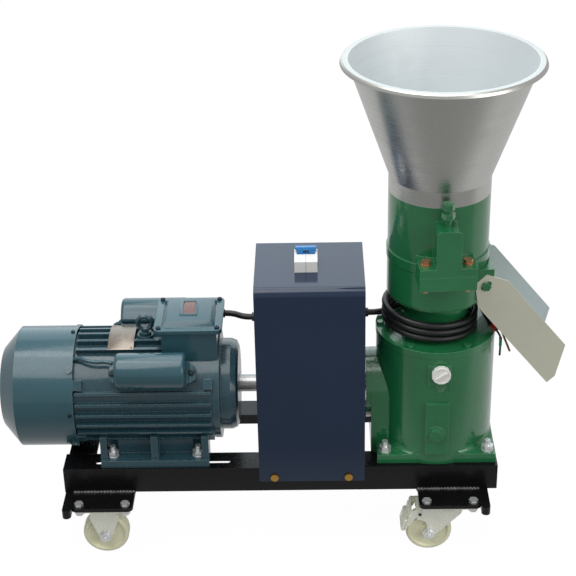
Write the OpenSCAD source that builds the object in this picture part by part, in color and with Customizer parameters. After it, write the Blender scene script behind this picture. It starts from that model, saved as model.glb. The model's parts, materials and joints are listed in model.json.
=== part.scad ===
// Feed pellet mill: single-phase motor, jaw coupling, bevel gearbox and flat-die pellet head
// on a welded angle frame with four casters.
// Lengths are in millimetres. Z is up and the floor is at zero. The operator stands at -Y.

/* [Frame] */
// Rails beyond the motor's outer foot bolts
rail_past = 81; // [76:1:100]
// Rails beyond the gearbox base
rail_past_base = 3; // [1:1:20]
// Width over the outer faces of the two rails
frame_w = 202; // [200:1:206]
// Leg length of the steel angle
angle_leg = 45; // [42:1:48]
// Wall thickness of the steel angle
angle_t = 4.5; // [3.5:0.5:6]
// Thickness of the welded caster plates
plate_t = 6; // [4:0.5:8]
// Length of a caster plate along the machine
plate_len = 100; // [98:1:104]
// Depth of a caster plate across the machine
plate_depth = 93; // [90:1:100]
// How far a caster plate stands out past the rail
plate_reach = 47; // [44:1:50]
// Corner radius of a caster plate
plate_corner = 9; // [4:1:12]
// Side of the square bars welded under the rail ends
bar_side = 14; // [10:1:16]
// Length of the square bars
bar_len = 310; // [300:1:330]
// Left casters in from the rails' ends
caster_left_in = 65; // [62:1:68]
// Right kingpins in from the rails' ends
caster_right_in = 79; // [71:1:81]
// Length of the motor slots in the rails
slot_len = 82; // [70:1:90]
// Width of the motor slots
slot_w = 11; // [9.5:0.5:12]
// How far the motor sits to the left of its slot centres
slot_shift = 11; // [0:1:14]

/* [Casters] */
// Wheel diameter
wheel_d = 75; // [70:1:78]
// Wheel width
wheel_w = 25; // [20:1:27]
// Axle bolt diameter
axle_d = 8; // [6:1:10]
// Height of a caster above its wheel
caster_rise = 23; // [21:1:29]
// Thickness of the pressed caster sheet
fork_t = 2.5; // [2:0.5:3]
// Gap between a wheel and each fork leg
fork_gap = 2; // [1:0.5:3]
// Length of the caster top plate
top_plate_len = 94; // [90:1:96]
// Depth of the caster top plate
top_plate_depth = 66; // [62:1:68]
// Spacing of the caster bolts along the machine
caster_bolt_x = 75; // [72:1:78]
// Spacing of the caster bolts across the machine
caster_bolt_y = 50; // [49:1:51]
// Horizontal offset of a swivel wheel behind its kingpin
trail = 32; // [28:1:34]
// Kingpin diameter
kingpin_d = 10; // [8:1:12]
// Radius of the swivel race
race_r = 25; // [22:1:28]

/* [Motor] */
// Height of the motor shaft above the rails
shaft_h = 100; // [98:1:104]
// Gap between the motor and the guard
motor_gap = 32; // [28:1:36]
// Foot bolt spacing along the shaft
foot_bolt_x = 140; // [130:1:150]
// Foot bolt spacing across the shaft
foot_bolt_y = 160; // [156:1:164]
// Length of the feet
foot_len = 176; // [168:1:184]
// Thickness of the foot flange
foot_t = 13; // [10:1:15]
// Outer radius over the cooling ribs
rib_r = 98; // [95:1:99]
// Radius of the ribbed housing between its ribs
body_r = 88; // [86:1:90]
// Wall of the motor housing
body_wall = 8; // [6:1:10]
// Length of the ribbed housing
body_len = 223; // [215:1:230]
// Thickness of a cooling rib
rib_t = 4.5; // [3:0.5:6]
// Radius of the end shield flanges
shield_r = 89; // [88:1:92]
// Radius of the dished drive end shield
dish_r = 75; // [70:1:80]
// Depth of the dished drive end shield
dish_len = 39; // [36:1:40]
// Outer radius of the fan cover
cover_r = 98.5; // [98.5:0.5:101]
// Length of the fan cover
cover_len = 122; // [110:1:130]
// Radius of the flat end of the fan cover
cover_end_r = 67; // [60:1:72]
// Sheet thickness of the fan cover
cover_t = 1.5; // [1:0.5:2]
// Diameter of the motor shaft end
shaft_d = 28; // [24:1:30]
// Terminal box length
tbox_len = 88; // [80:1:92]
// Terminal box width across the motor
tbox_w = 100; // [92:1:102]
// Terminal box lid length
lid_len = 109; // [103:1:111]
// Terminal box lid width
lid_w = 110; // [106:1:114]
// Height of the terminal box top above the motor axis
tbox_top = 124; // [120:1:128]
// Length of the front capacitor cover
cap_len = 111; // [100:1:116]
// Radius of the front capacitor cover
cap_r = 29; // [26:1:30]
// Angle of the front capacitor cover above the horizontal
cap_angle = 41.6; // [40:0.2:43]
// Bore of the lifting eye
eye_bore_d = 16; // [14:1:18]
// Outer diameter of the lifting eye
eye_outer_d = 30; // [28:1:34]

/* [Guard] */
// Gap between the guard and the input bearing cap
guard_gap = 3.5; // [2.5:0.5:5]
// Length of the guard along the machine
guard_len = 171.5; // [168:0.5:173]
// Height of the guard's flat top above the rails
guard_rise = 327; // [315:1:340]
// Sheet thickness of the guard
guard_t = 1.5; // [1:0.5:2]
// Bend radius of the guard's folds
guard_bend = 14; // [8:1:18]
// Distance from the shaft plane to the guard's back wall
guard_back = 61; // [60:0.5:66]
// How far the guard's front wall hangs down over the rail
guard_lap = 26; // [20:1:32]
// Width of the two-pole breaker
breaker_w = 36; // [34:0.5:37]
// Depth of the breaker's raised nose
nose_depth = 45; // [43:0.5:46]
// Height of the nose above the guard
nose_h = 18; // [15:0.5:20]

/* [Gearbox] */
// Outer radius of the gearbox case
case_r = 95.5; // [94:0.5:97]
// Wall of the gearbox case
case_wall = 8; // [6:0.5:9]
// Height of the case above the rails, without its cover
case_h = 200; // [195:1:210]
// Base beyond the barrel on each side
base_margin = 0.5; // [0:0.5:2]
// Depth of the square base
base_depth = 182; // [178:1:186]
// Thickness of the base flange
base_t = 16; // [12:1:18]
// Base studs in from the base's ends
base_stud_in = 13; // [12:1:16]
// Spacing of the base studs across the machine
base_stud_y = 156; // [150:1:160]
// Radius of the input tunnel
tunnel_r = 58; // [56:1:60]
// Input tunnel beyond the barrel
tunnel_reach = 9.5; // [9:0.5:10.5]
// Thickness of the input bearing cap
cap_flange_t = 8; // [6:0.5:8.5]
// Thickness of the gearbox cover
lid_t = 10; // [8:0.5:12]
// Outer radius of the neck
neck_r = 55; // [53:0.5:56]
// Height of the neck above the gearbox cover
neck_h = 59; // [57:0.5:64]
// Cover bolts in from the barrel's wall
lid_bolt_in = 6.5; // [5.5:0.5:7.5]

/* [Bevel gears] */
// Tooth module at the outer end
gear_module = 3.5; // [3.4:0.05:3.55]
// Teeth on the pinion
pinion_teeth = 10; // [10:1:11]
// Teeth on the crown gear
crown_teeth = 40; // [39:1:41]
// Face width of the teeth
gear_face = 18; // [15:0.5:19]
// Backlash taken off each tooth
backlash = 0.4; // [0.3:0.05:0.6]

/* [Pellet head] */
// Turn of the pellet head about its axis, in degrees
head_turn = 3.5; // [0:0.5:6]
// Outer radius of the die chamber
chamber_r = 79.5; // [78.5:0.25:80.5]
// Wall of the two chambers
chamber_wall = 8.5; // [7:0.25:8.5]
// Height of the die chamber
die_chamber_h = 70; // [69:0.5:71]
// Height of the feed chamber up to the hopper seat
feed_chamber_h = 112; // [108:0.5:116]
// Die thickness
die_t = 22; // [20:0.5:24]
// Running gap between the die and the chamber wall
die_gap = 1.6; // [1.2:0.1:2.5]
// Diameter of the die holes
die_hole_d = 6; // [4:0.5:6]
// Roller radius
roller_r = 36; // [33:0.5:36.5]
// Roller width
roller_w = 35; // [30:0.5:36]
// Gap between the rollers and the die
roller_gap = 0.4; // [0.3:0.1:1]
// Roller axle diameter
roller_axle_d = 30; // [26:0.5:31]
// Width of the clamp lugs
lug_w = 87; // [84:1:90]
// Distance from the head axis to the front of the lugs
lug_reach = 118; // [116:1:122]
// Width of the axle rib on each lug
rib_w = 38; // [37:0.5:42]
// Height of the axle rib above the upper lug flange
rib_h = 62; // [60:0.5:65]
// Half width of the outlet spout
spout_half = 60; // [58:0.5:61]
// Distance from the head axis to the spout's face
spout_reach = 80; // [79:0.5:84]
// Wall of the outlet spout
spout_wall = 6; // [5:0.5:7]

/* [Hopper and chute] */
// Radius of the hopper mouth inside its lip
mouth_r = 141.5; // [136:0.5:148]
// Width of the turned lip
lip_w = 12; // [8:0.5:14]
// How far the lip turns down
lip_drop = 6; // [4:0.5:8]
// Height of the hopper cone
cone_h = 183; // [170:1:195]
// Height of the hopper sleeve
sleeve_h = 25; // [18:1:28]
// Hopper sheet thickness
hopper_t = 1.5; // [1:0.25:2]
// Slope of the outlet chute below the horizontal, in degrees
chute_slope = 51; // [49:0.5:53]
// Depth of the chute walls
chute_depth = 63; // [60:0.5:66]
// Length of the chute floor
chute_len = 185; // [175:1:195]
// Chute sheet thickness
chute_t = 1.5; // [1:0.25:2]

/* [Mains lead] */
// Diameter of the mains lead
lead_d = 10; // [10:1:10]
// Radius of the wound loops
loop_r = 72; // [72:0.5:74]

/* [Hidden] */
$fn = 48;

// One overrun for every cut, and the clearances that pieces share
cut = 1;
run_gap = 0.05;
seat_gap = 0.2;
bolt_gap = 0.3;

// Colours
green = [0.08, 0.42, 0.25];
teal = [0.24, 0.37, 0.42];
black = [0.06, 0.06, 0.07];
cream = [0.86, 0.86, 0.62];
zinc = [0.78, 0.78, 0.74];
steel = [0.65, 0.65, 0.67];
iron = [0.42, 0.43, 0.46];
rubber = [0.05, 0.05, 0.05];

// Places along the machine, each from its neighbour to the right
base_len = 2 * (case_r + base_margin);
base_stud_x = base_len - 2 * base_stud_in;
lid_bolt_r = case_r - lid_bolt_in;
tunnel_len = case_r + tunnel_reach;
guard_x1 = -tunnel_len - cap_flange_t - guard_gap;
guard_x0 = guard_x1 - guard_len;
body_x1 = guard_x0 - motor_gap - dish_len;
body_x0 = body_x1 - body_len;
foot_past = 55;
motor_back = -body_x0 - foot_past - foot_bolt_x / 2;
rail_left = motor_back + foot_bolt_x / 2 + rail_past;
rail_right = base_len / 2 + rail_past_base;
caster_left = rail_left - caster_left_in;
caster_right = rail_right - caster_right_in;

// Heights shared by the frame and what stands on it
caster_h = wheel_d + caster_rise;
rail_z0 = caster_h + plate_t;
rail_z = rail_z0 + angle_leg;
rail_y = frame_w / 2;
axis_z = rail_z + shaft_h;

// Casters
caster_y = rail_y + plate_reach - plate_depth / 2 + 11.5 * caster_bolt_y / 50;
wheel_r = wheel_d / 2;
leg_y = wheel_w / 2 + fork_gap;
top_plate_t = 3;
caster_bolt_d = 8;
caster_bolt_head = 5.5;
race_h = 8;
race_gap = 0.4;
tip_gap = 0.8;
fork_top = caster_h - top_plate_t - race_h;
pedal_pin_d = 5;
pedal_t = 3;
pedal_pin_x = -trail - wheel_r * 0.42;
pedal_drop = 9;
pedal_pin_z = fork_top - pedal_drop;
pedal_width = wheel_w + 2 * (fork_gap + fork_t) + 2;

// Motor stations along X, all from the middle of the feet
cover_x0 = body_x0 - cover_len;
shield_t = 12;
dish_flange_t = 10;
dish_x1 = body_x1 + dish_len;
core_len = 118;
core_x0 = (body_x0 + body_x1) / 2 - core_len / 2;
stator_bore = 57.5;
rotor_gap = 0.7;
rotor_shaft_r = 17;
motor_bearing_r = 31;
motor_bearing_w = 16;
rear_bearing_r = 26;
rear_bearing_bore = 12.5;
drive_bearing_bore = 15;
shaft_r = shaft_d / 2;
coupling_x = (guard_x0 + guard_x1) / 2 + 2;
spider_w = 16;
jaw_r = 42;
coupling_hub_r = 27;
jaw_flange_t = 14;
coupling_hub_len = 38;
pinion_shaft_r = 12.5;

// Gearbox levels
case_z1 = rail_z + case_h;
lid_z = case_z1 + lid_t;
neck_z = lid_z + neck_h;
case_floor = 8;
main_bearing_r = 36;
main_bearing_w = 16;
main_r = 20;
foot_r = 17.5;
top_bearing_r = 42;
top_bearing_z = lid_z + 13;
seal_h = 8;
seal_z = neck_z - 13;
input_bearing_r = 33;
input_bearing_w = 12;

// Bevel gear geometry, on cones that meet at the crossing of the two shafts
pressure = 20;
shift_share = 0.4;
pitch_r_crown = gear_module * crown_teeth / 2;
pitch_r_pinion = gear_module * pinion_teeth / 2;
cone_dist = sqrt(pitch_r_crown * pitch_r_crown + pitch_r_pinion * pitch_r_pinion);
crown_cone = atan2(pitch_r_crown, pitch_r_pinion);
pinion_cone = 90 - crown_cone;
inner_share = (cone_dist - gear_face) / cone_dist;
crown_back = pitch_r_pinion + 16.5;
crown_seat_z = axis_z - crown_back;

// Pellet head levels
split_z = neck_z + die_chamber_h;
chamber_in = chamber_r - chamber_wall;
band_h = 15;
band_r = chamber_r + 1.5;
feed_r = chamber_r - 0.5;
lug_split = split_z + 15.5;
die_z1 = lug_split;
die_z0 = die_z1 - die_t;
die_r = chamber_in - die_gap;
lug_low_t = 23;
lug_up_t = 13.5;
lug_gap = 0.3;
rib_z0 = lug_split + lug_up_t;
rib_z1 = rib_z0 + rib_h;
feed_z1 = split_z + feed_chamber_h;
spigot_h = 16;
spigot_r = feed_r - hopper_t;
axle_z = die_z1 + roller_gap + roller_r;
roller_y0 = 22;
roller_y1 = roller_y0 + roller_w;
axle_end = lug_reach - 14;
slot_gap = 0.3;
clamp_x = 32;
clamp_y = lug_reach - 21;
clamp_d = 8;
adjust_y = lug_reach - 23;
adjust_d = 10;
floor_t = 8;
knife_t = 5;
knife_drop = 3;
plate_z = neck_z + 22;
vane_h = 14;
spout_z1 = die_z0 + 2.5;
spout_z0 = neck_z + 12;
pilot_r = 26;

// Hopper levels
cone_z0 = feed_z1 + sleeve_h;
mouth_z = cone_z0 + cone_h;

// Chute outline as steps along its floor and steps square to it
chute_foot_x = spout_reach - 23;
chute_foot_z = spout_z0 - 11;
chute_along_shares = [0, 1, 0.994, 0.8, -0.034, -0.2, -0.19];
chute_square_shares = [0, 0, 0.27, 1, 1, 0.7, 0.32];
chute_slot = [-22, 32];
chute_slot_len = 19;
chute_slot_w = 8.6;

// The row's origin is under the middle of the machine
chute_tip = [chute_foot_x + chute_len * chute_along_shares[3] * cos(chute_slope)
        + chute_depth * sin(chute_slope), spout_half + chute_t];
right_end = chute_tip[0] * cos(head_turn) + chute_tip[1] * sin(head_turn);
mid_x = (cover_x0 + right_end) / 2;

// Basic shapes

module at_row_origin() translate([-mid_x, 0, 0]) children();

module on_head() rotate([0, 0, head_turn]) children();

module both_sides() {
    children();
    mirror([0, 1, 0]) children();
}

module span(x, y, z) translate([x[0], y[0], z[0]]) cube([x[1] - x[0], y[1] - y[0], z[1] - z[0]]);

module post(r, z0, z1) translate([0, 0, z0]) cylinder(r = r, h = z1 - z0);

module rod_x(r, x0, x1) translate([x0, 0, 0]) rotate([0, 90, 0]) cylinder(r = r, h = x1 - x0);

module rod_y(r, y0, y1) translate([0, y0, 0]) rotate([-90, 0, 0]) cylinder(r = r, h = y1 - y0);

module tube_x(r_out, r_in, x0, x1) difference() {
    rod_x(r_out, x0, x1);
    rod_x(r_in, x0 - cut, x1 + cut);
}

module tube_z(r_out, r_in, z0, z1) difference() {
    post(r_out, z0, z1);
    post(r_in, z0 - cut, z1 + cut);
}

module hexagon(flats, z0, z1) translate([0, 0, z0])
    cylinder(r = flats / 2 / cos(30), h = z1 - z0, $fn = 6);

module turned_x() rotate([0, 90, 0]) rotate([0, 0, 90]) rotate_extrude() children();

// A rectangle with round corners, centred
module round_rect(w, d, r) {
    square([w - 2 * r, d], center = true);
    square([w, d - 2 * r], center = true);
    for (sx = [-1, 1], sy = [-1, 1])
        translate([sx * (w / 2 - r), sy * (d / 2 - r)]) circle(r = r);
}

module slot_cut(len, w, t) linear_extrude(height = t) {
    square([len - w, w], center = true);
    for (s = [-1, 1]) translate([s * (len - w) / 2, 0]) circle(r = w / 2);
}

// Frame

foot_bolt_xs = [-motor_back - foot_bolt_x / 2, -motor_back + foot_bolt_x / 2];

module rail() difference() {
    union() {
        span([-rail_left, rail_right], [-rail_y, -rail_y + angle_t], [rail_z0, rail_z]);
        span([-rail_left, rail_right], [-rail_y, -rail_y + angle_leg], [rail_z - angle_t, rail_z]);
    }
    for (x = foot_bolt_xs) translate([x + slot_shift, -foot_bolt_y / 2, rail_z - angle_t - cut])
        slot_cut(slot_len, slot_w, angle_t + 2 * cut);
    for (s = [-1, 1]) translate([s * base_stud_x / 2, -base_stud_y / 2, 0])
        post(stud_r + bolt_gap, rail_z - angle_t - cut, rail_z + cut);
    for (x = screw_xs) translate([x, 0, screw_z]) rod_y(screw_r + bolt_gap, -rail_y - cut, -rail_y + angle_t + cut);
}

module front_rail() color(black) rail();

module rear_rail() color(black) difference() {
    union() {
        span([-rail_left, rail_right], [rail_y - angle_t, rail_y], [rail_z0, rail_z]);
        span([-rail_left, rail_right], [rail_y - angle_leg, rail_y], [rail_z - angle_t, rail_z]);
    }
    for (x = foot_bolt_xs) translate([x + slot_shift, foot_bolt_y / 2, rail_z - angle_t - cut])
        slot_cut(slot_len, slot_w, angle_t + 2 * cut);
    for (s = [-1, 1]) translate([s * base_stud_x / 2, base_stud_y / 2, 0])
        post(stud_r + bolt_gap, rail_z - angle_t - cut, rail_z + cut);
    for (x = screw_xs) translate([x, rear_screw_y, 0])
        post(screw_r + bolt_gap, rail_z - angle_t - cut, rail_z + cut);
}

caster_bolts = [for (sx = [-1, 1], sy = [-1, 1]) [sx * caster_bolt_x / 2, sy * caster_bolt_y / 2]];

module caster_plate() translate([0, -rail_y - plate_reach + plate_depth / 2, caster_h]) difference() {
    linear_extrude(height = plate_t) round_rect(plate_len, plate_depth, plate_corner);
    for (p = caster_bolts)
        translate([p[0], p[1] + rail_y + plate_reach - plate_depth / 2 - caster_y, 0])
            post(caster_bolt_d / 2 + bolt_gap, -cut, plate_t + cut);
}

// An angle between the rails' flanges, its flat leg level with their tops
module cross_angle(x) {
    inner_y = rail_y - angle_leg;
    span([x, x + angle_leg], [-inner_y, inner_y], [rail_z - angle_t, rail_z]);
    span([x, x + angle_t], [-inner_y, inner_y], [rail_z0, rail_z]);
}

cross_xs = [-rail_left + angle_t, guard_x1 - angle_leg - 5, rail_right - angle_leg];

module cross_bar(x) translate([x, 0, 0]) difference() {
    span([0, bar_side], [-bar_len / 2, bar_len / 2], [rail_z0 - bar_side, rail_z0]);
    for (s = [-1, 1]) translate([bar_side / 2, s * (bar_len / 2 - bar_side / 2), 0]) difference() {
        span([-bar_side, bar_side], s > 0 ? [0, bar_side] : [-bar_side, 0],
            [rail_z0 - bar_side - cut, rail_z0 + cut]);
        post(bar_side / 2, rail_z0 - bar_side - 2 * cut, rail_z0 + 2 * cut);
    }
}

module cross_members() color(black) {
    for (x = [-caster_left, caster_right]) both_sides() translate([x, 0, 0]) caster_plate();
    for (x = cross_xs) cross_angle(x);
    cross_bar(-caster_left - plate_len / 2 - bar_side);
    cross_bar(caster_right + plate_len / 2);
}

// Fasteners that hold the casters, the motor and the gearbox to the frame

stud_r = 5;
stud_flats = 17;
stud_nut_h = 8;
washer_t = 2;
washer_r = 10;

module caster_bolt() {
    hexagon(13, caster_h + plate_t, caster_h + plate_t + caster_bolt_head);
    post(caster_bolt_d / 2, fork_top + tip_gap, caster_h + plate_t);
    hexagon(13, caster_h - top_plate_t - 6.5, caster_h - top_plate_t);
}

// A stud through the rail's flange, with a nut below and a washer and nut above a flange of thickness t
module frame_stud(t) {
    z1 = rail_z + t;
    post(stud_r, rail_z - angle_t - stud_nut_h - 4, z1 + washer_t + stud_nut_h + 9);
    post(washer_r, z1, z1 + washer_t);
    hexagon(stud_flats, z1 + washer_t, z1 + washer_t + stud_nut_h);
    hexagon(stud_flats, rail_z - angle_t - stud_nut_h, rail_z - angle_t);
}

module frame_bolts() color([0.8, 0.78, 0.7]) both_sides() {
    for (x = [-caster_left, caster_right], p = caster_bolts) translate([x + p[0], p[1] - caster_y, 0]) caster_bolt();
    for (x = foot_bolt_xs) translate([x, -foot_bolt_y / 2, 0]) frame_stud(foot_t);
    for (s = [-1, 1]) translate([s * base_stud_x / 2, -base_stud_y / 2, 0]) frame_stud(base_t);
}

// Casters

module caster_top() difference() {
    translate([0, 0, caster_h - top_plate_t]) linear_extrude(height = top_plate_t)
        round_rect(top_plate_len, top_plate_depth, 8);
    for (p = caster_bolts) translate([p[0], p[1], 0])
        post(caster_bolt_d / 2 + bolt_gap, caster_h - top_plate_t - cut, caster_h + cut);
}

axle_boss_r = axle_d / 2 + 7;

module rigid_leg_outline() {
    top = caster_h - top_plate_t;
    polygon([[-axle_boss_r, wheel_r], [-24 * wheel_r / 37.5, wheel_r * 1.9], [-20, top], [20, top],
        [24 * wheel_r / 37.5, wheel_r * 1.9], [axle_boss_r, wheel_r]]);
    translate([0, wheel_r]) circle(r = axle_boss_r);
}

module axle_bolt() translate([0, 0, wheel_r]) {
    rod_y(axle_d / 2, -leg_y - fork_t, leg_y + fork_t);
    for (s = [0, 180]) rotate([0, 0, s]) rotate([90, 0, 0])
        hexagon(13, leg_y + fork_t, leg_y + fork_t + 5);
}

module rigid_caster() {
    caster_top();
    both_sides() translate([0, -leg_y, 0]) rotate([90, 0, 0]) linear_extrude(height = fork_t)
        rigid_leg_outline();
    axle_bolt();
}

module kingpin_top() {
    caster_top();
    translate([0, 0, caster_h - top_plate_t - race_h + race_gap]) cylinder(r = race_r, h = race_h - race_gap);
    post(kingpin_d / 2, fork_top - fork_t - 6, fork_top + race_gap);
    post(kingpin_d / 2 + 4, fork_top - fork_t - 6, fork_top - fork_t - race_gap);
}

module caster_housings() color(zinc) both_sides() {
    translate([-caster_left, -caster_y, 0]) rigid_caster();
    translate([caster_right, -caster_y, 0]) kingpin_top();
}

// A leg of the swivel fork, with the round cut that shows the wheel
module swivel_leg_outline() {
    difference() {
        union() {
            polygon([[race_r - 2, fork_top], [race_r - 6, fork_top - 12], [axle_boss_r - trail, wheel_r - 4],
                [-axle_boss_r - trail, wheel_r], [pedal_pin_x - 6, pedal_pin_z - 8],
                [pedal_pin_x - 6, fork_top]]);
            translate([-trail, wheel_r]) circle(r = axle_boss_r);
        }
        translate([-trail - axle_boss_r - 5, wheel_r + 12]) circle(r = 13);
    }
}

module swivel_fork() difference() {
    union() {
        post(race_r, fork_top - fork_t, fork_top);
        span([pedal_pin_x - 6, 0], [-leg_y, leg_y], [fork_top - fork_t, fork_top]);
        both_sides() translate([0, -leg_y, 0]) rotate([90, 0, 0]) linear_extrude(height = fork_t)
            swivel_leg_outline();
        translate([-trail, 0, 0]) axle_bolt();
        translate([pedal_pin_x, 0, pedal_pin_z]) rod_y(pedal_pin_d / 2, -pedal_width / 2 - pedal_t - 2,
            pedal_width / 2 + pedal_t + 2);
    }
    post(kingpin_d / 2 + run_gap, fork_top - 2 * fork_t, fork_top + cut);
}

// The pedal wraps the fork's end and turns on its pin
module brake_pedal() {
    reach = 14;
    difference() {
        union() {
            both_sides() translate([0, -pedal_width / 2, 0]) rotate([90, 0, 0]) linear_extrude(height = pedal_t)
                polygon([[5, 5], [-reach, 6], [-reach - 9, -24], [-reach - 3, -24], [-6, -6], [5, -5]]);
            span([-reach - pedal_t + 1, -reach + 1], [-pedal_width / 2 - 1, pedal_width / 2 + 1], [-4, 5]);
            translate([-reach - 9, 0, -24]) rotate([0, 15, 0])
                span([0, pedal_t], [-pedal_width / 2 - pedal_t - 1, pedal_width / 2 + pedal_t + 1], [-8, 21]);
        }
        rod_y(pedal_pin_d / 2 + run_gap, -pedal_width, pedal_width);
    }
}

module front_swivel_fork() color(zinc) translate([caster_right, -caster_y, 0]) swivel_fork();

module rear_swivel_fork() color(zinc) translate([caster_right, caster_y, 0]) swivel_fork();

module front_brake_pedal() color(zinc)
    translate([caster_right + pedal_pin_x, -caster_y, pedal_pin_z]) brake_pedal();

module rear_brake_pedal() color(zinc)
    translate([caster_right + pedal_pin_x, caster_y, pedal_pin_z]) brake_pedal();

// A nylon wheel: bore, hub face, web and crowned tread
module wheel_at(x, y) translate([x, y, wheel_r]) rotate([90, 0, 0]) rotate_extrude() {
    half = wheel_w / 2;
    hub_r = wheel_r * 0.32;
    web_r = wheel_r * 0.78;
    dip = half * 0.25;
    polygon([[axle_d / 2 + run_gap, -half], [hub_r, -half], [hub_r + 2, -half + dip], [web_r, -half + dip],
        [web_r + 2, -half], [wheel_r - 3, -half], [wheel_r - 0.8, -half + 2.2], [wheel_r, -half + 5],
        [wheel_r, half - 5], [wheel_r - 0.8, half - 2.2], [wheel_r - 3, half], [web_r + 2, half],
        [web_r, half - dip], [hub_r + 2, half - dip], [hub_r, half], [axle_d / 2 + run_gap, half]]);
}

module front_left_wheel() color(cream) wheel_at(-caster_left, -caster_y);

module rear_left_wheel() color(cream) wheel_at(-caster_left, caster_y);

module front_right_wheel() color(cream) wheel_at(caster_right - trail, -caster_y);

module rear_right_wheel() color(cream) wheel_at(caster_right - trail, caster_y);

// Motor. Everything here is drawn about the shaft and lifted to it.

module on_axis() translate([0, 0, axis_z]) children();

// Turns a piece about the shaft, from level at the front towards the top
module about_shaft(a) rotate([-a, 0, 0]) children();

fin_angles = concat([for (k = [-3:2]) k * 11.25], [for (k = [14:19]) k * 11.25]);
top_fin_angles = [for (k = [6:10]) k * 11.25];
lug_angles = [31, 149, -31, 211];
foot_web_t = 11;
housing_in = body_r - body_wall;
tbox_x0 = -motor_back + 18;
tbox_x1 = tbox_x0 + tbox_len;
tbox_z1 = axis_z + tbox_top;
tbox_wall = 4;
lid_h = 8;
eye_x = -motor_back - 13;
eye_rise = 117.5;
eye_z = axis_z + eye_rise;
eye_boss_z = axis_z + body_r + 8;

module fin(a, x0, x1) about_shaft(a) span([x0, x1], [-rib_r, -body_r + 3], [-rib_t / 2, rib_t / 2]);

module foot() {
    x0 = -motor_back - foot_len / 2;
    x1 = -motor_back + foot_len / 2;
    span([x0, x1], [-rib_r + 1, -60], [rail_z, rail_z + foot_t]);
    span([x0, x1], [-rib_r + 26, -60], [rail_z, axis_z - body_r * 0.62]);
    for (x = [x0, -motor_back - foot_web_t / 2, x1 - foot_web_t])
        span([x, x + foot_web_t], [-rib_r + 5, -60], [rail_z, axis_z - body_r * 0.5]);
}

module cap_boss(x) span([x - 7, x + 7], [-cap_seat, -body_r + 3], [-8, 8]);

module motor_housing() color(teal) difference() {
    union() {
        on_axis() rod_x(body_r, body_x0, body_x1);
        on_axis() for (a = fin_angles) fin(a, body_x0 + 3, body_x1 - 3);
        on_axis() for (a = top_fin_angles) fin(a, body_x0 + 3, abs(a - 90) < 5 ? tbox_x0 - 58 : tbox_x0 - 2);
        on_axis() for (a = lug_angles, x = [body_x0, body_x1 - 14]) about_shaft(a)
            span([x, x + 14], [-rib_r - 1, -body_r + 3], [-8, 8]);
        both_sides() foot();
        translate([eye_x, 0, 0]) post(13, axis_z + body_r - 6, eye_boss_z);
        on_axis() for (x = cap_tab_xs) about_shaft(cap_angle) cap_boss(x);
        on_axis() for (x = cap_tab_xs) about_shaft(180 - cap_angle) cap_boss(x + rear_cap_shift);
    }
    on_axis() rod_x(housing_in, body_x0 - cut, body_x1 + cut);
    translate([(tbox_x0 + tbox_x1) / 2, 0, 0]) post(14, axis_z, tbox_z1);
    both_sides() for (x = foot_bolt_xs) translate([x, -foot_bolt_y / 2, 0])
        post(stud_r + bolt_gap, rail_z - cut, rail_z + foot_t + cut);
    both_sides() for (x = foot_bolt_xs) translate([x, -foot_bolt_y / 2, 0])
        post(washer_r + 2, rail_z + foot_t, rail_z + foot_t + 32);
}

module stator() color([0.55, 0.5, 0.45]) on_axis() {
    tube_x(housing_in, stator_bore, core_x0, core_x0 + core_len);
    tube_x(housing_in - 6, stator_bore + 3, core_x0 - 26, core_x0);
    tube_x(housing_in - 6, stator_bore + 3, core_x0 + core_len, core_x0 + core_len + 26);
}

dish_floor = 15;
seat_len = 26;

module drive_end_shield() color(teal) on_axis() turned_x() difference() {
    polygon([[shaft_r + 2.5, body_x1], [shield_r, body_x1], [shield_r, body_x1 + dish_flange_t],
        [dish_r, body_x1 + dish_flange_t + 2], [dish_r, dish_x1 - 12], [dish_r - 3.5, dish_x1 - 3.5],
        [dish_r - 12, dish_x1], [shaft_r + 2.5, dish_x1]]);
    polygon([[cut, body_x1 - cut], [dish_r - 9, body_x1 - cut], [dish_r - 9, dish_x1 - dish_floor],
        [motor_bearing_r + 8, dish_x1 - 9], [motor_bearing_r + 8, dish_x1 - seat_len],
        [motor_bearing_r, dish_x1 - seat_len],
        [motor_bearing_r, dish_x1 - 6], [shaft_r + 6, dish_x1 - 6], [cut, dish_x1 - 6]]);
}

module rear_end_shield() color(teal) on_axis() turned_x() polygon([
    [shaft_r, body_x0 - shield_t], [shield_r, body_x0 - shield_t], [shield_r, body_x0],
    [rear_bearing_r + 8, body_x0], [rear_bearing_r + 8, body_x0 + 12], [rear_bearing_r, body_x0 + 12],
    [rear_bearing_r, body_x0 - shield_t + 4], [shaft_r, body_x0 - shield_t + 4]]);

fan_grille_r = cover_end_r - 12;
fan_straight = 27;

module fan_cover() color(teal) on_axis() {
    cover_shell();
    cover_screws();
}

module cover_shell() difference() {
    turned_x() polygon([[0, cover_x0], [cover_end_r, cover_x0], [cover_r, cover_x0 + fan_straight],
        [cover_r, body_x0], [cover_r - cover_t, body_x0], [cover_r - cover_t, cover_x0 + fan_straight + 0.7],
        [cover_end_r - 0.9, cover_x0 + cover_t], [0, cover_x0 + cover_t]]);
    for (k = [0:9], r = [20, 31, 42]) rotate([k * 36 + (r == 31 ? 18 : 0), 0, 0]) translate([0, 0, r])
        rod_x(3.6, cover_x0 - cut, cover_x0 + cover_t + cut);
    for (k = [0:17]) rotate([k * 20, 0, 0]) translate([0, 0, fan_grille_r - 1])
        rod_x(4, cover_x0 - cut, cover_x0 + cover_t + cut);
}

cover_screw_r = 3;

module cover_screws() for (a = [0, 90, 180, 270]) rotate([a + 45, 0, 0]) {
    translate([body_x0 - shield_t / 2, 0, 0]) {
        post(cover_screw_r, shield_r, cover_r);
        post(cover_screw_r + 2.5, cover_r, cover_r + 3.5);
    }
}

drive_bearing_x = dish_x1 - 6 - motor_bearing_w;

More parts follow.
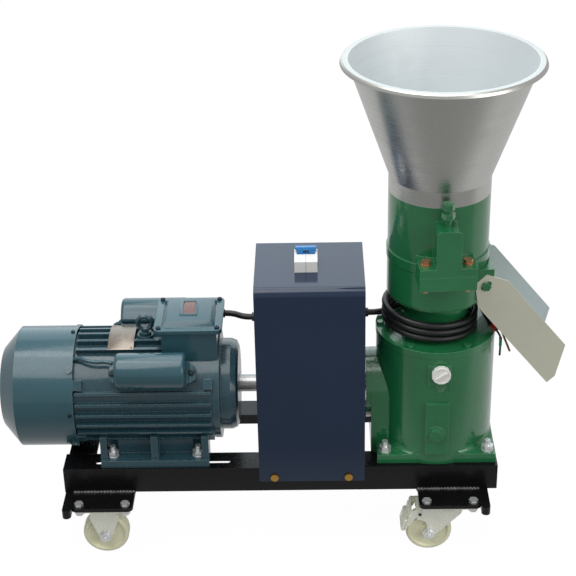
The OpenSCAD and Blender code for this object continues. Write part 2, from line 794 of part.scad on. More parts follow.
module motor_bearings() color(steel) on_axis() {
    tube_x(motor_bearing_r, drive_bearing_bore + run_gap, drive_bearing_x, drive_bearing_x + motor_bearing_w);
    tube_x(rear_bearing_r, rear_bearing_bore + run_gap, body_x0 - shield_t + 4, body_x0 + 6);
}

module terminal_box() color(teal) difference() {
    span([tbox_x0, tbox_x1], [-tbox_w / 2, tbox_w / 2], [axis_z + body_r * 0.62, tbox_z1]);
    span([tbox_x0 + tbox_wall, tbox_x1 - tbox_wall], [-tbox_w / 2 + tbox_wall, tbox_w / 2 - tbox_wall],
        [axis_z + body_r * 0.5, tbox_z1 + cut]);
    on_axis() rod_x(body_r, tbox_x0 - cut, tbox_x1 + cut);
    on_axis() rod_x(shield_r + seat_gap, body_x1, tbox_x1 + cut);
    translate([0, gland_y, gland_z]) rod_x(lead_r + seat_gap, tbox_x1 - tbox_wall - cut, tbox_x1 + cut);
}

lid_shift = 1.5;

module terminal_box_lid() color(teal) translate([(tbox_x0 + tbox_x1) / 2 - lid_shift, 0, tbox_z1]) {
    linear_extrude(height = lid_h) round_rect(lid_len, lid_w, 8);
    translate([0, 0, lid_h]) linear_extrude(height = 4) round_rect(lid_len - 26, lid_w - 24, 8);
    translate([0, 0, lid_h + 4]) linear_extrude(height = 4) round_rect(lid_len - 34, lid_w - 34, 6);
    translate([0, 5, lid_h + 8]) linear_extrude(height = 2) difference() {
        square([29, 49], center = true);
        square([20, 40], center = true);
    }
    for (sx = [-1, 1], sy = [-1, 1])
        translate([sx * (lid_len / 2 - 8), sy * (lid_w / 2 - 8), lid_h]) cylinder(r = 4, h = 3);
}

// The capacitor cover stands on the housing's front shoulder, on two tabs
cap_seat = rib_r + 1;
cap_x0 = -motor_back + 2.5 - cap_len / 2;
cap_x1 = cap_x0 + cap_len;
cap_tab_xs = [cap_x0 - 7, cap_x1 + 7];
cap_mid = cap_seat + 21.6;

rear_cap_shift = -8;
cap_skirt = 24;
cap_skirt_up = 20;

module capacitor_cover() on_axis() difference() {
    about_shaft(cap_angle) difference() {
        union() {
            translate([0, -cap_mid, 0]) rod_x(cap_r, cap_x0, cap_x1);
            span([cap_x0, cap_x1], [-cap_mid, -cap_seat], [-cap_r, cap_r]);
            span([cap_x0, cap_x1], [-cap_mid, -body_r + 4], [-cap_skirt, cap_skirt_up]);
            for (x = cap_tab_xs) span([x - 7, x + 7], [-cap_seat - 3, -cap_seat], [-9, 9]);
            for (x = cap_tab_xs) translate([x, 0, 0]) rotate([90, 0, 0]) post(4, cap_seat + 3, cap_seat + 6);
        }
        translate([0, -cap_mid, 0]) rod_x(cap_r - 2, cap_x0 + 2, cap_x1 - 2);
        span([cap_x0 + 2, cap_x1 - 2], [-cap_mid, -cap_seat - 2], [-cap_r + 2, cap_r - 2]);
        span([cap_x0 + 2, cap_x1 - 2], [-cap_mid, -body_r + 4 + cut], [-cap_skirt + 2, cap_skirt_up - 2]);
    }
    rod_x(body_r, cap_x0 - cut, cap_x1 + cut);
}

module start_capacitor_cover() color(teal) capacitor_cover();

module run_capacitor_cover() color(teal) translate([rear_cap_shift, 0, 0]) mirror([0, 1, 0])
    capacitor_cover();

module lifting_eye() color(teal) translate([eye_x, 0, 0]) {
    difference() {
        union() {
            translate([0, 0, eye_z]) rotate([90, 0, 0]) rotate_extrude() eye_ring_outline();
            post(5.5, eye_boss_z, eye_z - eye_bore_d / 2 - 2);
        }
        translate([0, 0, eye_z]) rod_y(eye_bore_d / 2, -eye_outer_d, eye_outer_d);
    }
    post(10, eye_boss_z, eye_boss_z + 5);
}

module eye_ring_outline() {
    half = 6;
    polygon([[eye_bore_d / 2 - 1, -3], [eye_bore_d / 2, -3], [eye_bore_d / 2 + 2, -half + 1], [eye_bore_d / 2 + 3.5, -half],
        [eye_outer_d / 2 - 2, -half + 1], [eye_outer_d / 2, -3], [eye_outer_d / 2, 3], [eye_outer_d / 2 - 2, half - 1],
        [eye_bore_d / 2 + 3.5, half], [eye_bore_d / 2 + 2, half - 1], [eye_bore_d / 2, 3], [eye_bore_d / 2 - 1, 3]]);
}

// Motor lead, made whole between its two glands

gland_y = 40;
gland_z = tbox_z1 - 14;
guard_gland_y = 27;
lead_r = lead_d / 2;
gland_len = 9;
gland_flats = 15.5;
gland_reach = 20;
lead_bend = 35;
lead_bend_r = (gland_y - guard_gland_y) / 2 / (1 - cos(lead_bend));
lead_mid_x = (tbox_x1 + guard_x0) / 2;
lead_bend_x = lead_bend_r * sin(lead_bend);

lead_mid = (gland_y + guard_gland_y) / 2;
motor_lead_points = concat([[tbox_x1 - 18, gland_y, gland_z]],
    [for (k = [0:5]) let (a = k * lead_bend / 5)
        [lead_mid_x - lead_bend_x + lead_bend_r * sin(a), gland_y - lead_bend_r * (1 - cos(a)), gland_z]],
    [for (k = [1:5]) let (a = lead_bend - k * lead_bend / 5)
        [lead_mid_x + lead_bend_x - lead_bend_r * sin(a), guard_gland_y + lead_bend_r * (1 - cos(a)), gland_z]],
    [[guard_x0 + 30, guard_gland_y, gland_z]]);

module motor_lead() color(rubber) tube_along(motor_lead_points, lead_r, 12, [0, 0, 1]);

module gland(through = true) difference() {
    union() {
        rotate([0, 90, 0]) hexagon(gland_flats, 0, 5);
        rod_x(gland_flats / 2 - 0.5, 5, gland_len);
        if (through) {
            rod_x(lead_r + 2, -8, 0);
            rotate([0, 90, 0]) hexagon(gland_flats, -guard_t - 6, -guard_t);
        }
    }
    rod_x(lead_r, -gland_reach, gland_reach);
}

module cable_glands() color(rubber) {
    translate([tbox_x1, gland_y, gland_z]) gland(false);
    translate([guard_x0, guard_gland_y, gland_z]) mirror([1, 0, 0]) gland();
    translate([guard_x1, lead_start[1], lead_start[2]]) gland();
}

// Guard over the coupling

guard_y0 = -rail_y - guard_t;
guard_z1 = rail_z + guard_rise;
guard_foot = 26;
screw_r = 3;
screw_head_r = 6.5;
screw_head_h = 4;
screw_z = rail_z - 17;
screw_xs = [guard_x0 + 25, guard_x1 - 26];
rear_screw_y = guard_back + 15;
breaker_x = (guard_x0 + guard_x1) / 2 - 5;
nose_y = [3 - nose_depth, 3];
toggle_y = -8;
toggle_z = guard_z1 + nose_h - 8;
shaft_slot_r = coupling_hub_r + 3;

// The guard's outline across the machine, drawn in by the wall
module guard_outline(wall) {
    r = guard_bend - wall;
    translate([guard_y0 + wall + r, guard_z1 - wall - r]) circle(r = r);
    translate([guard_y0 + wall, rail_z - guard_lap]) square([r, guard_z1 - wall - r - rail_z + guard_lap]);
    translate([guard_y0 + wall + r, rail_z - guard_lap])
        square([guard_back - guard_y0 - 2 * wall - r, guard_z1 - wall - rail_z + guard_lap]);
}

module across(x0, x1) translate([x0, 0, 0]) rotate([90, 0, 90]) linear_extrude(height = x1 - x0) children();

module coupling_guard() color([0.13, 0.18, 0.32]) difference() {
    union() {
        difference() {
            across(guard_x0, guard_x1) guard_outline(0);
            across(guard_x0 + guard_t, guard_x1 - guard_t) guard_outline(guard_t);
            span([guard_x0 - cut, guard_x1 + cut], [guard_y0 + guard_t, guard_back + cut],
                [rail_z - guard_lap - cut, rail_z]);
        }
        span([guard_x0, guard_x1], [guard_back - guard_t, guard_back + guard_foot], [rail_z, rail_z + guard_t]);
    }
    for (x = screw_xs) translate([x, 0, screw_z]) rod_y(screw_r + bolt_gap, guard_y0 - cut, guard_y0 + guard_t + cut);
    for (x = screw_xs) translate([x, rear_screw_y, 0])
        post(screw_r + bolt_gap, rail_z - cut, rail_z + guard_t + cut);
    on_axis() rod_x(shaft_slot_r, guard_x0 - cut, guard_x1 + cut);
    for (x = [guard_x0 - cut, guard_x1 - guard_t - cut])
        span([x, x + guard_t + 2 * cut], [-shaft_slot_r, shaft_slot_r], [rail_z - cut, axis_z]);
    span([breaker_x - breaker_w / 2 - seat_gap, breaker_x + breaker_w / 2 + seat_gap],
        [nose_y[0] - seat_gap, nose_y[1] + seat_gap], [guard_z1 - guard_t - cut, guard_z1 + cut]);
    translate([0, guard_gland_y, gland_z]) rod_x(lead_r + 2 + seat_gap, guard_x0 - cut, guard_x0 + guard_t + cut);
    translate([0, lead_start[1], lead_start[2]])
        rod_x(lead_r + 2 + seat_gap, guard_x1 - guard_t - cut, guard_x1 + cut);
}

module guard_screws() color([0.72, 0.56, 0.28]) for (x = screw_xs) {
    translate([x, 0, screw_z]) rod_y(screw_r, guard_y0, -rail_y + angle_t + 5);
    translate([x, 0, screw_z]) rod_y(screw_head_r, guard_y0 - screw_head_h, guard_y0);
    translate([x, rear_screw_y, 0]) post(screw_r, rail_z - angle_t - 5, rail_z + guard_t);
    translate([x, rear_screw_y, 0]) post(screw_head_r, rail_z + guard_t, rail_z + guard_t + screw_head_h);
}

drum_r = 7;
toggle_w = breaker_w - 8;

module breaker_body() color([0.9, 0.9, 0.9]) difference() {
    union() {
        span([breaker_x - breaker_w / 2, breaker_x + breaker_w / 2], nose_y, [guard_z1 - guard_t, guard_z1 + nose_h]);
        span([breaker_x - breaker_w / 2, breaker_x + breaker_w / 2], [nose_y[0] - 18, nose_y[1] + 18],
            [guard_z1 - guard_t - 46, guard_z1 - guard_t]);
    }
    translate([0, toggle_y, toggle_z]) rod_x(drum_r + 2 * seat_gap, breaker_x - toggle_w / 2 - seat_gap,
        breaker_x + toggle_w / 2 + seat_gap);
    span([breaker_x - toggle_w / 2 - seat_gap, breaker_x + toggle_w / 2 + seat_gap],
        [toggle_y - drum_r - 2 * seat_gap, toggle_y + drum_r + 2 * seat_gap], [toggle_z, guard_z1 + nose_h + cut]);
    translate([0, toggle_y, toggle_z]) rod_x(2, breaker_x - breaker_w / 2 + 2, breaker_x + breaker_w / 2 - 2);
}

module breaker_toggle() color([0.1, 0.35, 0.6]) {
    translate([0, toggle_y, toggle_z]) rod_x(drum_r, breaker_x - toggle_w / 2, breaker_x + toggle_w / 2);
    translate([0, toggle_y, toggle_z]) rod_x(2 - run_gap, breaker_x - toggle_w / 2 - 1.8,
        breaker_x + toggle_w / 2 + 1.8);
    translate([0, toggle_y, toggle_z]) rotate([-12, 0, 0])
        span([breaker_x - toggle_w / 2, breaker_x + toggle_w / 2], [-5, 5], [0, 17]);
}

// Gearbox

module case_outer() {
    post(case_r, rail_z, case_z1);
    span([-base_len / 2, base_len / 2], [-base_depth / 2, base_depth / 2], [rail_z, rail_z + base_t]);
    span([-tunnel_len, 0], [-tunnel_r, tunnel_r], [rail_z, axis_z]);
    on_axis() rod_x(tunnel_r, -tunnel_len, 0);
    span(panel_x, [-case_r - 4, -case_r + 12], [rail_z + panel_rise[0], rail_z + panel_rise[1]]);
    span([-17, 19], [-case_r - 2.5, -case_r + 12], [oil_z - 21, oil_z + 15]);
    translate([drain_x, 0, drain_z]) rod_y(14.5, -drain_face, -case_r + 12);
}

panel_x = [-19, 17.5];
panel_rise = [22, 117];
oil_x = 3;
oil_z = case_z1 - 28;
drain_x = -3;
drain_z = axis_z - 39;
drain_face = case_r + 5.5;
boss_top = rail_z + 34;

module gearbox_case() color(green) difference() {
    union() {
        difference() {
            case_outer();
            post(case_r - case_wall, rail_z + case_floor, case_z1 + cut);
            span([-tunnel_len + 40, 0], [-tunnel_r + 12, tunnel_r - 12], [rail_z + case_floor, axis_z]);
        }
        on_axis() rod_x(input_bearing_r + 9, -tunnel_len, -tunnel_len + 28);
        post(main_bearing_r + 8, rail_z + 3, boss_top);
    }
    on_axis() rod_x(input_bearing_r, -tunnel_len - cut, -tunnel_len + 25);
    on_axis() rod_x(input_bearing_r - 6, -tunnel_len, -tunnel_len + 30);
    post(main_bearing_r, boss_top - main_bearing_w - 2, boss_top + cut);
    post(main_bearing_r - 6, boss_top - main_bearing_w - 8, boss_top);
    for (sx = [-1, 1], sy = [-1, 1]) translate([sx * base_stud_x / 2, sy * base_stud_y / 2, 0]) {
        post(stud_r + bolt_gap, rail_z - cut, rail_z + base_t + cut);
        post(washer_r + 1, rail_z + base_t, rail_z + base_t + 30);
    }
    translate([oil_x, 0, oil_z]) rod_y(6, -case_r - 5, -case_r + 20);
    translate([drain_x, 0, drain_z]) rod_y(6, -case_r - 7, -case_r + 20);
}

module gearbox_cover() color(green) difference() {
    union() {
        post(case_r + 1, case_z1, lid_z);
        post(neck_r, case_z1, neck_z);
    }
    post(top_bearing_r, case_z1 - cut, top_bearing_z + main_bearing_w);
    post(main_r + 5, case_z1, neck_z);
    post(seal_r, seal_z, neck_z + cut);
    for (a = [0:60:300]) rotate([0, 0, a]) translate([lid_bolt_r, 0, 0]) post(lid_bolt_d / 2 + 0.2, case_z1 - cut, lid_z + cut);
}

seal_r = 29;
lid_bolt_d = 5;
cap_bolt_r = input_bearing_r + 10;

module gearbox_bolts() color(green) {
    for (a = [0:60:300]) rotate([0, 0, a]) translate([lid_bolt_r, 0, 0]) {
        post(lid_bolt_d / 2, case_z1, lid_z);
        hexagon(10, lid_z, lid_z + 4.5);
    }
    on_axis() for (a = [45:90:315]) rotate([a, 0, 0]) translate([-tunnel_len - cap_flange_t, 0, cap_bolt_r + 3]) {
        rotate([0, -90, 0]) hexagon(10, 0, 2.5);
        rod_x(lid_bolt_d / 2, 0, cap_flange_t);
    }
}

module input_bearing_cap() color(green) on_axis() difference() {
    rod_x(tunnel_r - 0.5, -tunnel_len - cap_flange_t, -tunnel_len);
    rod_x(pinion_shaft_r + 2, -tunnel_len - cap_flange_t - cut, -tunnel_len + cut);
    for (a = [45:90:315]) rotate([a, 0, 0]) translate([-tunnel_len, 0, cap_bolt_r + 3])
        rod_x(lid_bolt_d / 2 + 0.2, -cap_flange_t - cut, cut);
}

module oil_filler_cap() color([0.92, 0.92, 0.9]) translate([oil_x, 0, oil_z]) {
    rod_y(6 - 0.1, -case_r - 2.5, -case_r + 10);
    rod_y(15, -case_r - 11.5, -case_r - 2.5);
}

module drain_plug() color(green) translate([drain_x, 0, drain_z]) {
    rod_y(6 - 0.1, -drain_face, -case_r + 10);
    rod_y(12.6, -drain_face - 2.5, -drain_face);
    rod_y(10, -drain_face - 5.5, -drain_face - 2.5);
}

input_bearing_xs = [-tunnel_len, -tunnel_len + input_bearing_w + 1];

module gearbox_bearings() color(steel) {
    on_axis() for (x = input_bearing_xs) tube_x(input_bearing_r, pinion_shaft_r + run_gap, x, x + input_bearing_w);
    tube_z(main_bearing_r, foot_r + run_gap, boss_top - main_bearing_w - 2, boss_top - 2);
    tube_z(top_bearing_r, main_r + run_gap, top_bearing_z, top_bearing_z + main_bearing_w);
    tube_z(seal_r, main_r + run_gap, seal_z, seal_z + seal_h);
}

// Shafts and couplings

key_w = 8;
key_rise = 3;
motor_shaft_end = coupling_x - 11.5;

module motor_shaft() color(steel) on_axis() difference() {
    union() {
        rod_x(rear_bearing_bore, cover_x0 + 42, body_x0 + 6);
        rod_x(rotor_shaft_r, body_x0 + 6, drive_bearing_x);
        rod_x(drive_bearing_bore, drive_bearing_x, dish_x1);
        rod_x(shaft_r, dish_x1, motor_shaft_end);
    }
    span([dish_x1 + 2, motor_shaft_end + cut], [-shaft_r - cut, -shaft_r + 4], [-key_w / 2, key_w / 2]);
}

module rotor_core() color(iron) on_axis() {
    tube_x(stator_bore - rotor_gap, rotor_shaft_r, core_x0, core_x0 + core_len);
    tube_x(stator_bore - 5, stator_bore - 16, core_x0 - 8, core_x0);
    tube_x(stator_bore - 5, stator_bore - 16, core_x0 + core_len, core_x0 + core_len + 8);
}

fan_r = cover_r - 13;
fan_in = 49;
fan_x = cover_x0 + fan_in;

module cooling_fan() color([0.2, 0.2, 0.2]) on_axis() {
    tube_x(22, rear_bearing_bore, fan_x, fan_x + 38);
    tube_x(fan_r - 14, 20, fan_x + 34, fan_x + 38);
    for (k = [0:7]) rotate([k * 45, 0, 0]) span([fan_x, fan_x + 36], [-1.5, 1.5], [20, fan_r]);
}

jaw_angle = 44;

// One jaw, drawn as a sector towards +Z about the shaft
module jaw(x0, x1) rotate([-90 - jaw_angle / 2, 0, 0]) rotate([90, 0, 90]) translate([0, 0, x0])
    rotate_extrude(angle = jaw_angle) translate([19, 0]) square([jaw_r - 19.5, x1 - x0]);

module coupling_half(bore, s) difference() {
    union() {
        rod_x(jaw_r, spider_w / 2, spider_w / 2 + jaw_flange_t);
        rod_x(coupling_hub_r, spider_w / 2 + jaw_flange_t, spider_w / 2 + jaw_flange_t + coupling_hub_len);
        for (k = [0:2]) rotate([k * 120 + s, 0, 0]) jaw(-spider_w / 2 + 0.8, spider_w / 2 + 2);
    }
    rod_x(bore, -spider_w, spider_w + jaw_flange_t + coupling_hub_len);
}

module motor_coupling_half() color(iron) translate([coupling_x, 0, axis_z]) mirror([1, 0, 0])
    coupling_half(shaft_r, 0);

module gearbox_coupling_half() color(iron) translate([coupling_x, 0, axis_z])
    coupling_half(pinion_shaft_r, 60);

lobe_tip = 10.4;
lobe_root = 4.6;

module coupling_spider() color([0.7, 0.15, 0.1]) translate([coupling_x, 0, axis_z]) {
    tube_x(18.6, 14, -spider_w / 2 + 0.8, spider_w / 2 - 0.8);
    for (k = [0:5]) rotate([k * 60 + 30, 0, 0]) across(-spider_w / 2 + 1.2, spider_w / 2 - 1.2)
        polygon([[-lobe_root / 2, 17], [-lobe_tip / 2, jaw_r - 1.5], [lobe_tip / 2, jaw_r - 1.5], [lobe_root / 2, 17]]);
}

// Straight bevel teeth, drawn about Z with the apex at the origin and the wheel above it

function involute(a) = tan(a) - a * PI / 180;
function flank_angle(rv, base_v, half_pitch, r) = let (a = r > base_v ? acos(base_v / r) : 0)
    half_pitch + (involute(pressure) - involute(a)) * 180 / PI;

// A tooth's outline on the back cone: pairs of radius and angle, from the left root to the right root
function tooth_outline(rv, teeth_v, shift, steps) = let (
    base_v = rv * cos(pressure),
    tip = rv + (1 + shift) * gear_module,
    root = rv - (1.25 - shift) * gear_module,
    start = max(root + 0.3, base_v),
    half_pitch = ((PI / 4 + shift * tan(pressure)) * gear_module - backlash / 2) / rv * 180 / PI,
    flank = [for (k = [0:steps]) let (r = start + (tip - start) * k / steps)
        [r, flank_angle(rv, base_v, half_pitch, r)]],
    pitch_angle = 360 / teeth_v,
    foot = flank[0][1],
    left = [for (p = flank) [p[0], -p[1]]],
    right = [for (k = [0:steps]) [flank[steps - k][0], flank[steps - k][1]]])
    concat([[root, -pitch_angle / 2], [root, -foot]], left, right, [[root, foot]]);

// Points of the whole wheel's outline at a share of the cone distance
function wheel_ring(teeth, cone, shift, steps, share) = let (
    r0 = cone_dist * sin(cone),
    a0 = cone_dist * cos(cone),
    rv = r0 / cos(cone),
    outline = tooth_outline(rv, teeth / cos(cone), shift, steps))
    [for (k = [0:teeth - 1], p = outline) let (
        h = p[0] - rv,
        r = p[0] * cos(cone) * share,
        a = p[1] / cos(cone) + k * 360 / teeth)
        [r * cos(a), r * sin(a), (a0 - h * sin(cone)) * share]];

function flat_ring(base, ring) = [for (p = ring) base[0] / norm([p[0], p[1]]) * [p[0], p[1], 0] + [0, 0, base[1]]];

module bevel_teeth(teeth, cone, shift, steps, heel_base, toe_base) {
    heel = wheel_ring(teeth, cone, shift, steps, 1);
    toe = wheel_ring(teeth, cone, shift, steps, inner_share);
    n = len(heel);
    points = concat(heel, toe, flat_ring(toe_base, toe), flat_ring(heel_base, heel));
    polyhedron(points = points, faces = [for (s = [0:3], k = [0:n - 1], t = [0, 1]) let (
        a = s * n + k,
        b = s * n + (k + 1) % n,
        c = ((s + 1) % 4) * n + (k + 1) % n,
        d = ((s + 1) % 4) * n + k)
        t == 0 ? [a, b, c] : [a, c, d]]);
}

shoulder_x = max(pitch_r_crown + 4, tunnel_len - 2 * input_bearing_w - 1.2);
pinion_key_len = 44;

module pinion_shaft() color(steel) on_axis() difference() {
    union() {
        rod_x(pinion_shaft_r, coupling_x + 11.5, -cone_dist * cos(pinion_cone) - 6);
        rotate([0, -90, 0]) {
            rotate([0, 0, 180]) bevel_teeth(pinion_teeth, pinion_cone, shift_share, 4,
                [pitch_r_pinion * 0.5, pitch_r_crown + 2], [pitch_r_pinion * 0.4, pitch_r_crown * inner_share + 1.3]);
            rotate_extrude() polygon([[0, pitch_r_crown * inner_share - 1.6],
                [pitch_r_pinion * 0.545, pitch_r_crown * inner_share - 1.6],
                [pitch_r_pinion * 0.775, pitch_r_crown + 2.5],
                [pinion_shaft_r + 3, pitch_r_crown + 2.5], [pinion_shaft_r + 3, shoulder_x], [0, shoulder_x]]);
        }
    }
    span([coupling_x + 8, coupling_x + 8 + pinion_key_len], [-pinion_shaft_r - cut, -pinion_shaft_r + 3.5], [-key_w / 2, key_w / 2]);
}

rim_gap = 0.1;
rim_in = 47;
hub_wall = 14;
hub_rise = 13;

module crown_gear() color(steel) on_axis() rotate([180, 0, 0]) {
    rotate([0, 0, 180 / crown_teeth]) bevel_teeth(crown_teeth, crown_cone, -shift_share, 2,
        [rim_in + rim_gap, crown_back - 5], [rim_in + rim_gap, pitch_r_pinion + 0.6]);
    difference() {
        union() {
            post(rim_in, pitch_r_pinion + 1.5, crown_back - 6);
            post(main_r + hub_wall, hub_rise, crown_back);
        }
        post(main_r, 0, crown_back + cut);
    }
}

die_bore = 17.5;

module main_shaft() color(steel) on_head() {
    post(foot_r, boss_top - main_bearing_w - 4, boss_top);
    post(main_r + 5, boss_top, crown_seat_z);
    post(main_r, crown_seat_z, die_z0);
    post(die_bore, die_z0, die_z1);
    post(12, die_z1, die_z1 + 15);
    post(roller_y0 - 1.2, die_z1, die_z1 + 2.5);
    hexagon(36, die_z1 + 2.5, die_z1 + 13.5);
}

// Pellet head

lug_y0 = 62;

module lug_block(z0, z1) span([-lug_w / 2, lug_w / 2], [-lug_reach, -lug_y0], [z0, z1]);

// The base outline of a chamber wall, with a small fillet drawn as two chamfers
module die_chamber() color(green) on_head() difference() {
    union() {
        rotate_extrude() polygon([[0, neck_z], [chamber_r - 8, neck_z], [chamber_r - 2.5, neck_z + 2.5],
            [chamber_r, neck_z + 8], [chamber_r, split_z], [0, split_z]]);
        span([20, spout_reach], [-spout_half, spout_half], [spout_z0, spout_z1]);
        both_sides() lug_block(lug_split - lug_low_t, lug_split - lug_gap);
    }
    post(chamber_in, neck_z + floor_t, lug_split + cut);
    post(pilot_r, neck_z - cut, neck_z + floor_t + cut);
    post(band_r + seat_gap, split_z, lug_split + cut);
    span([0, spout_reach + cut], [-spout_half + spout_wall, spout_half - spout_wall],
        [spout_z0 + spout_wall, spout_z1 - spout_wall]);
    both_sides() for (s = [-1, 1]) translate([s * clamp_x, -clamp_y, 0])
        post(clamp_d / 2 + bolt_gap, lug_split - lug_low_t - cut, lug_split + cut);
    both_sides() translate([chute_slot_at[0], -spout_half, chute_slot_at[1]]) rod_y(chute_bolt_r, -cut, 8);
}

axle_gap = 0.3;
rib_round = 7;
rib_flat = rib_w / 2 - rib_round;

module feed_chamber() color(green) on_head() difference() {
    union() {
        post(feed_r, split_z, feed_z1);
        post(band_r, split_z, split_z + band_h);
        post(spigot_r, feed_z1, feed_z1 + spigot_h);
        both_sides() {
            lug_block(lug_split, lug_split + lug_up_t);
            span([-rib_w / 2, rib_w / 2], [-lug_reach, -lug_y0], [lug_split, rib_z1 - rib_round]);
            span([-rib_flat, rib_flat], [-lug_reach, -lug_y0], [lug_split, rib_z1]);
            for (x = [-rib_flat, rib_flat]) translate([x, 0, rib_z1 - rib_round]) rod_y(rib_round, -lug_reach, -lug_y0);
        }
    }
    post(chamber_in, split_z - cut, feed_z1 + spigot_h + cut);
    both_sides() {
        translate([0, 0, axle_z]) rod_y(roller_axle_d / 2 + axle_gap, -axle_end - 2, 0);
        span([-roller_axle_d / 2 - axle_gap, roller_axle_d / 2 + axle_gap], [-axle_end - 2, 0], [axle_z - 6, axle_z]);
        translate([0, 0, axle_z - 6]) rod_y(roller_axle_d / 2 + axle_gap, -axle_end - 2, 0);
        translate([0, -adjust_y, 0]) post(adjust_d / 2 + bolt_gap, axle_z, rib_z1 + cut);
        for (s = [-1, 1]) translate([s * clamp_x, -clamp_y, 0])
            post(clamp_d / 2 + bolt_gap, lug_split - cut, lug_split + lug_up_t + cut);
    }
}

chute_bolt_r = 4;

module head_bolts() color([0.72, 0.42, 0.25]) on_head() both_sides() {
    for (s = [-1, 1]) translate([s * clamp_x, -clamp_y, 0]) {
        post(clamp_d / 2, lug_split - lug_low_t - 12, lug_split + lug_up_t);
        post(clamp_d / 2 + 4.5, lug_split + lug_up_t, lug_split + lug_up_t + 1.5);
        hexagon(13, lug_split + lug_up_t + 1.5, lug_split + lug_up_t + 6.5);
        hexagon(13, lug_split - lug_low_t - 6.5, lug_split - lug_low_t);
    }
}

module adjusting_bolts() color(green) on_head() both_sides() translate([0, -adjust_y, 0]) {
    post(adjust_d / 2, axle_z + roller_axle_d / 2, rib_z1 + 27);
    hexagon(18, rib_z1 + 13, rib_z1 + 21);
    hexagon(17, rib_z1 + 27, rib_z1 + 37);
    translate([chute_slot_at[0], adjust_y, chute_slot_at[1]]) {
        rod_y(chute_bolt_r, -spout_half - chute_t, -spout_half + 8);
        rotate([90, 0, 0]) hexagon(13, spout_half + chute_t, spout_half + chute_t + 5);
    }
}

hub_half = 18;

module roller_axle() color(steel) on_head() translate([0, 0, axle_z]) {
    rod_y(roller_axle_d / 2, -axle_end, axle_end);
    span([-hub_half, hub_half], [-roller_y0 + 1, roller_y0 - 1], [-hub_half, hub_half]);
    for (s = [-1, 1]) rod_y(roller_axle_d / 2 + 5, s > 0 ? roller_y1 + 1 : -roller_y1 - 5, s > 0 ? roller_y1 + 5 : -roller_y1 - 1);
}

flutes = 24;
flute_r = 3.2;

module roller(y0, y1) on_head() translate([0, 0, axle_z]) difference() {
    rod_y(roller_r, y0, y1);
    rod_y(roller_axle_d / 2 + run_gap, y0 - cut, y1 + cut);
    for (k = [0:flutes - 1]) rotate([0, k * 360 / flutes, 0]) translate([0, 0, roller_r + flute_r * 0.45])
        rod_y(flute_r, y0 - cut, y1 + cut);
}

module front_roller() color(steel) roller(-roller_y1, -roller_y0);

module rear_roller() color(steel) roller(roller_y0, roller_y1);

hole_ring_rs = [27, 36.5, 46, 55.5];
hole_counts = [12, 18, 24, 30];

module flat_die() color(iron) on_head() difference() {
    post(die_r, die_z0, die_z1);
    post(die_bore, die_z0 - cut, die_z1 + cut);
    for (i = [0:3], k = [0:hole_counts[i] - 1]) rotate([0, 0, k * 360 / hole_counts[i]])
        translate([hole_ring_rs[i] + (i == 0 ? 2 : 0), 0, 0]) post(die_hole_d / 2, die_z0 - cut, die_z1 + cut);
}

module discharge_plate() color(steel) on_head() difference() {
    union() {
        post(chamber_in - 4, plate_z, plate_z + 6);
        post(main_r + 8, neck_z + floor_t + 1, plate_z + 6);
        for (k = [0:3]) rotate([0, 0, k * 90 + 30]) span([main_r + 4, chamber_in - 8], [-2, 2], [plate_z + 3, plate_z + 6 + vane_h]);
    }
    post(main_r, neck_z, plate_z + 2 * vane_h);
}

module pellet_knife() color(steel) on_head() difference() {
    rotate([0, 0, 205]) span([main_r + 6, chamber_in + 4], [-7, 7], [die_z0 - knife_drop - knife_t, die_z0 - knife_drop]);
    tube_z(chamber_r + 20, chamber_in, die_z0 - 30, die_z0);
}

module hopper() color([0.78, 0.78, 0.8]) on_head() rotate_extrude() polygon([
    [spigot_r, feed_z1], [spigot_r + hopper_t, feed_z1], [spigot_r + hopper_t, cone_z0],
    [mouth_r + hopper_t, mouth_z - hopper_t], [mouth_r + lip_w - hopper_t, mouth_z - lip_drop],
    [mouth_r + lip_w, mouth_z - lip_drop], [mouth_r + lip_w - 1.5, mouth_z - 2], [mouth_r + lip_w - 4, mouth_z],
    [mouth_r, mouth_z], [spigot_r, cone_z0 + 0.5]]);

function chute_point(i) = [chute_foot_x + chute_len * chute_along_shares[i] * cos(chute_slope)
        + chute_depth * chute_square_shares[i] * sin(chute_slope),
    chute_foot_z - chute_len * chute_along_shares[i] * sin(chute_slope)
        + chute_depth * chute_square_shares[i] * cos(chute_slope)];
chute_slot_at = [chute_foot_x + chute_slot[0] * cos(chute_slope) + chute_slot[1] * sin(chute_slope),
    chute_foot_z - chute_slot[0] * sin(chute_slope) + chute_slot[1] * cos(chute_slope)];

module chute_wall() difference() {
    rotate([90, 0, 0]) linear_extrude(height = chute_t) polygon([for (i = [0:6]) chute_point(i)]);
    translate([chute_slot_at[0], 0, chute_slot_at[1]]) rotate([0, chute_slope - 90, 0]) rotate([90, 0, 0])
        translate([0, 0, -cut]) slot_cut(chute_slot_len, chute_slot_w, chute_t + 2 * cut);
}

module outlet_chute() color([0.75, 0.76, 0.78]) on_head() difference() {
    union() {
        both_sides() translate([0, -spout_half, 0]) chute_wall();
        translate([chute_foot_x, 0, chute_foot_z]) rotate([0, chute_slope, 0])
            span([0, chute_len], [-spout_half - chute_t, spout_half + chute_t], [0, chute_t]);
    }
    post(chamber_r + seat_gap, neck_z - cut, split_z);
}

// Mains lead: from the guard's gland into loops wound clockwise about the neck, then down to its end

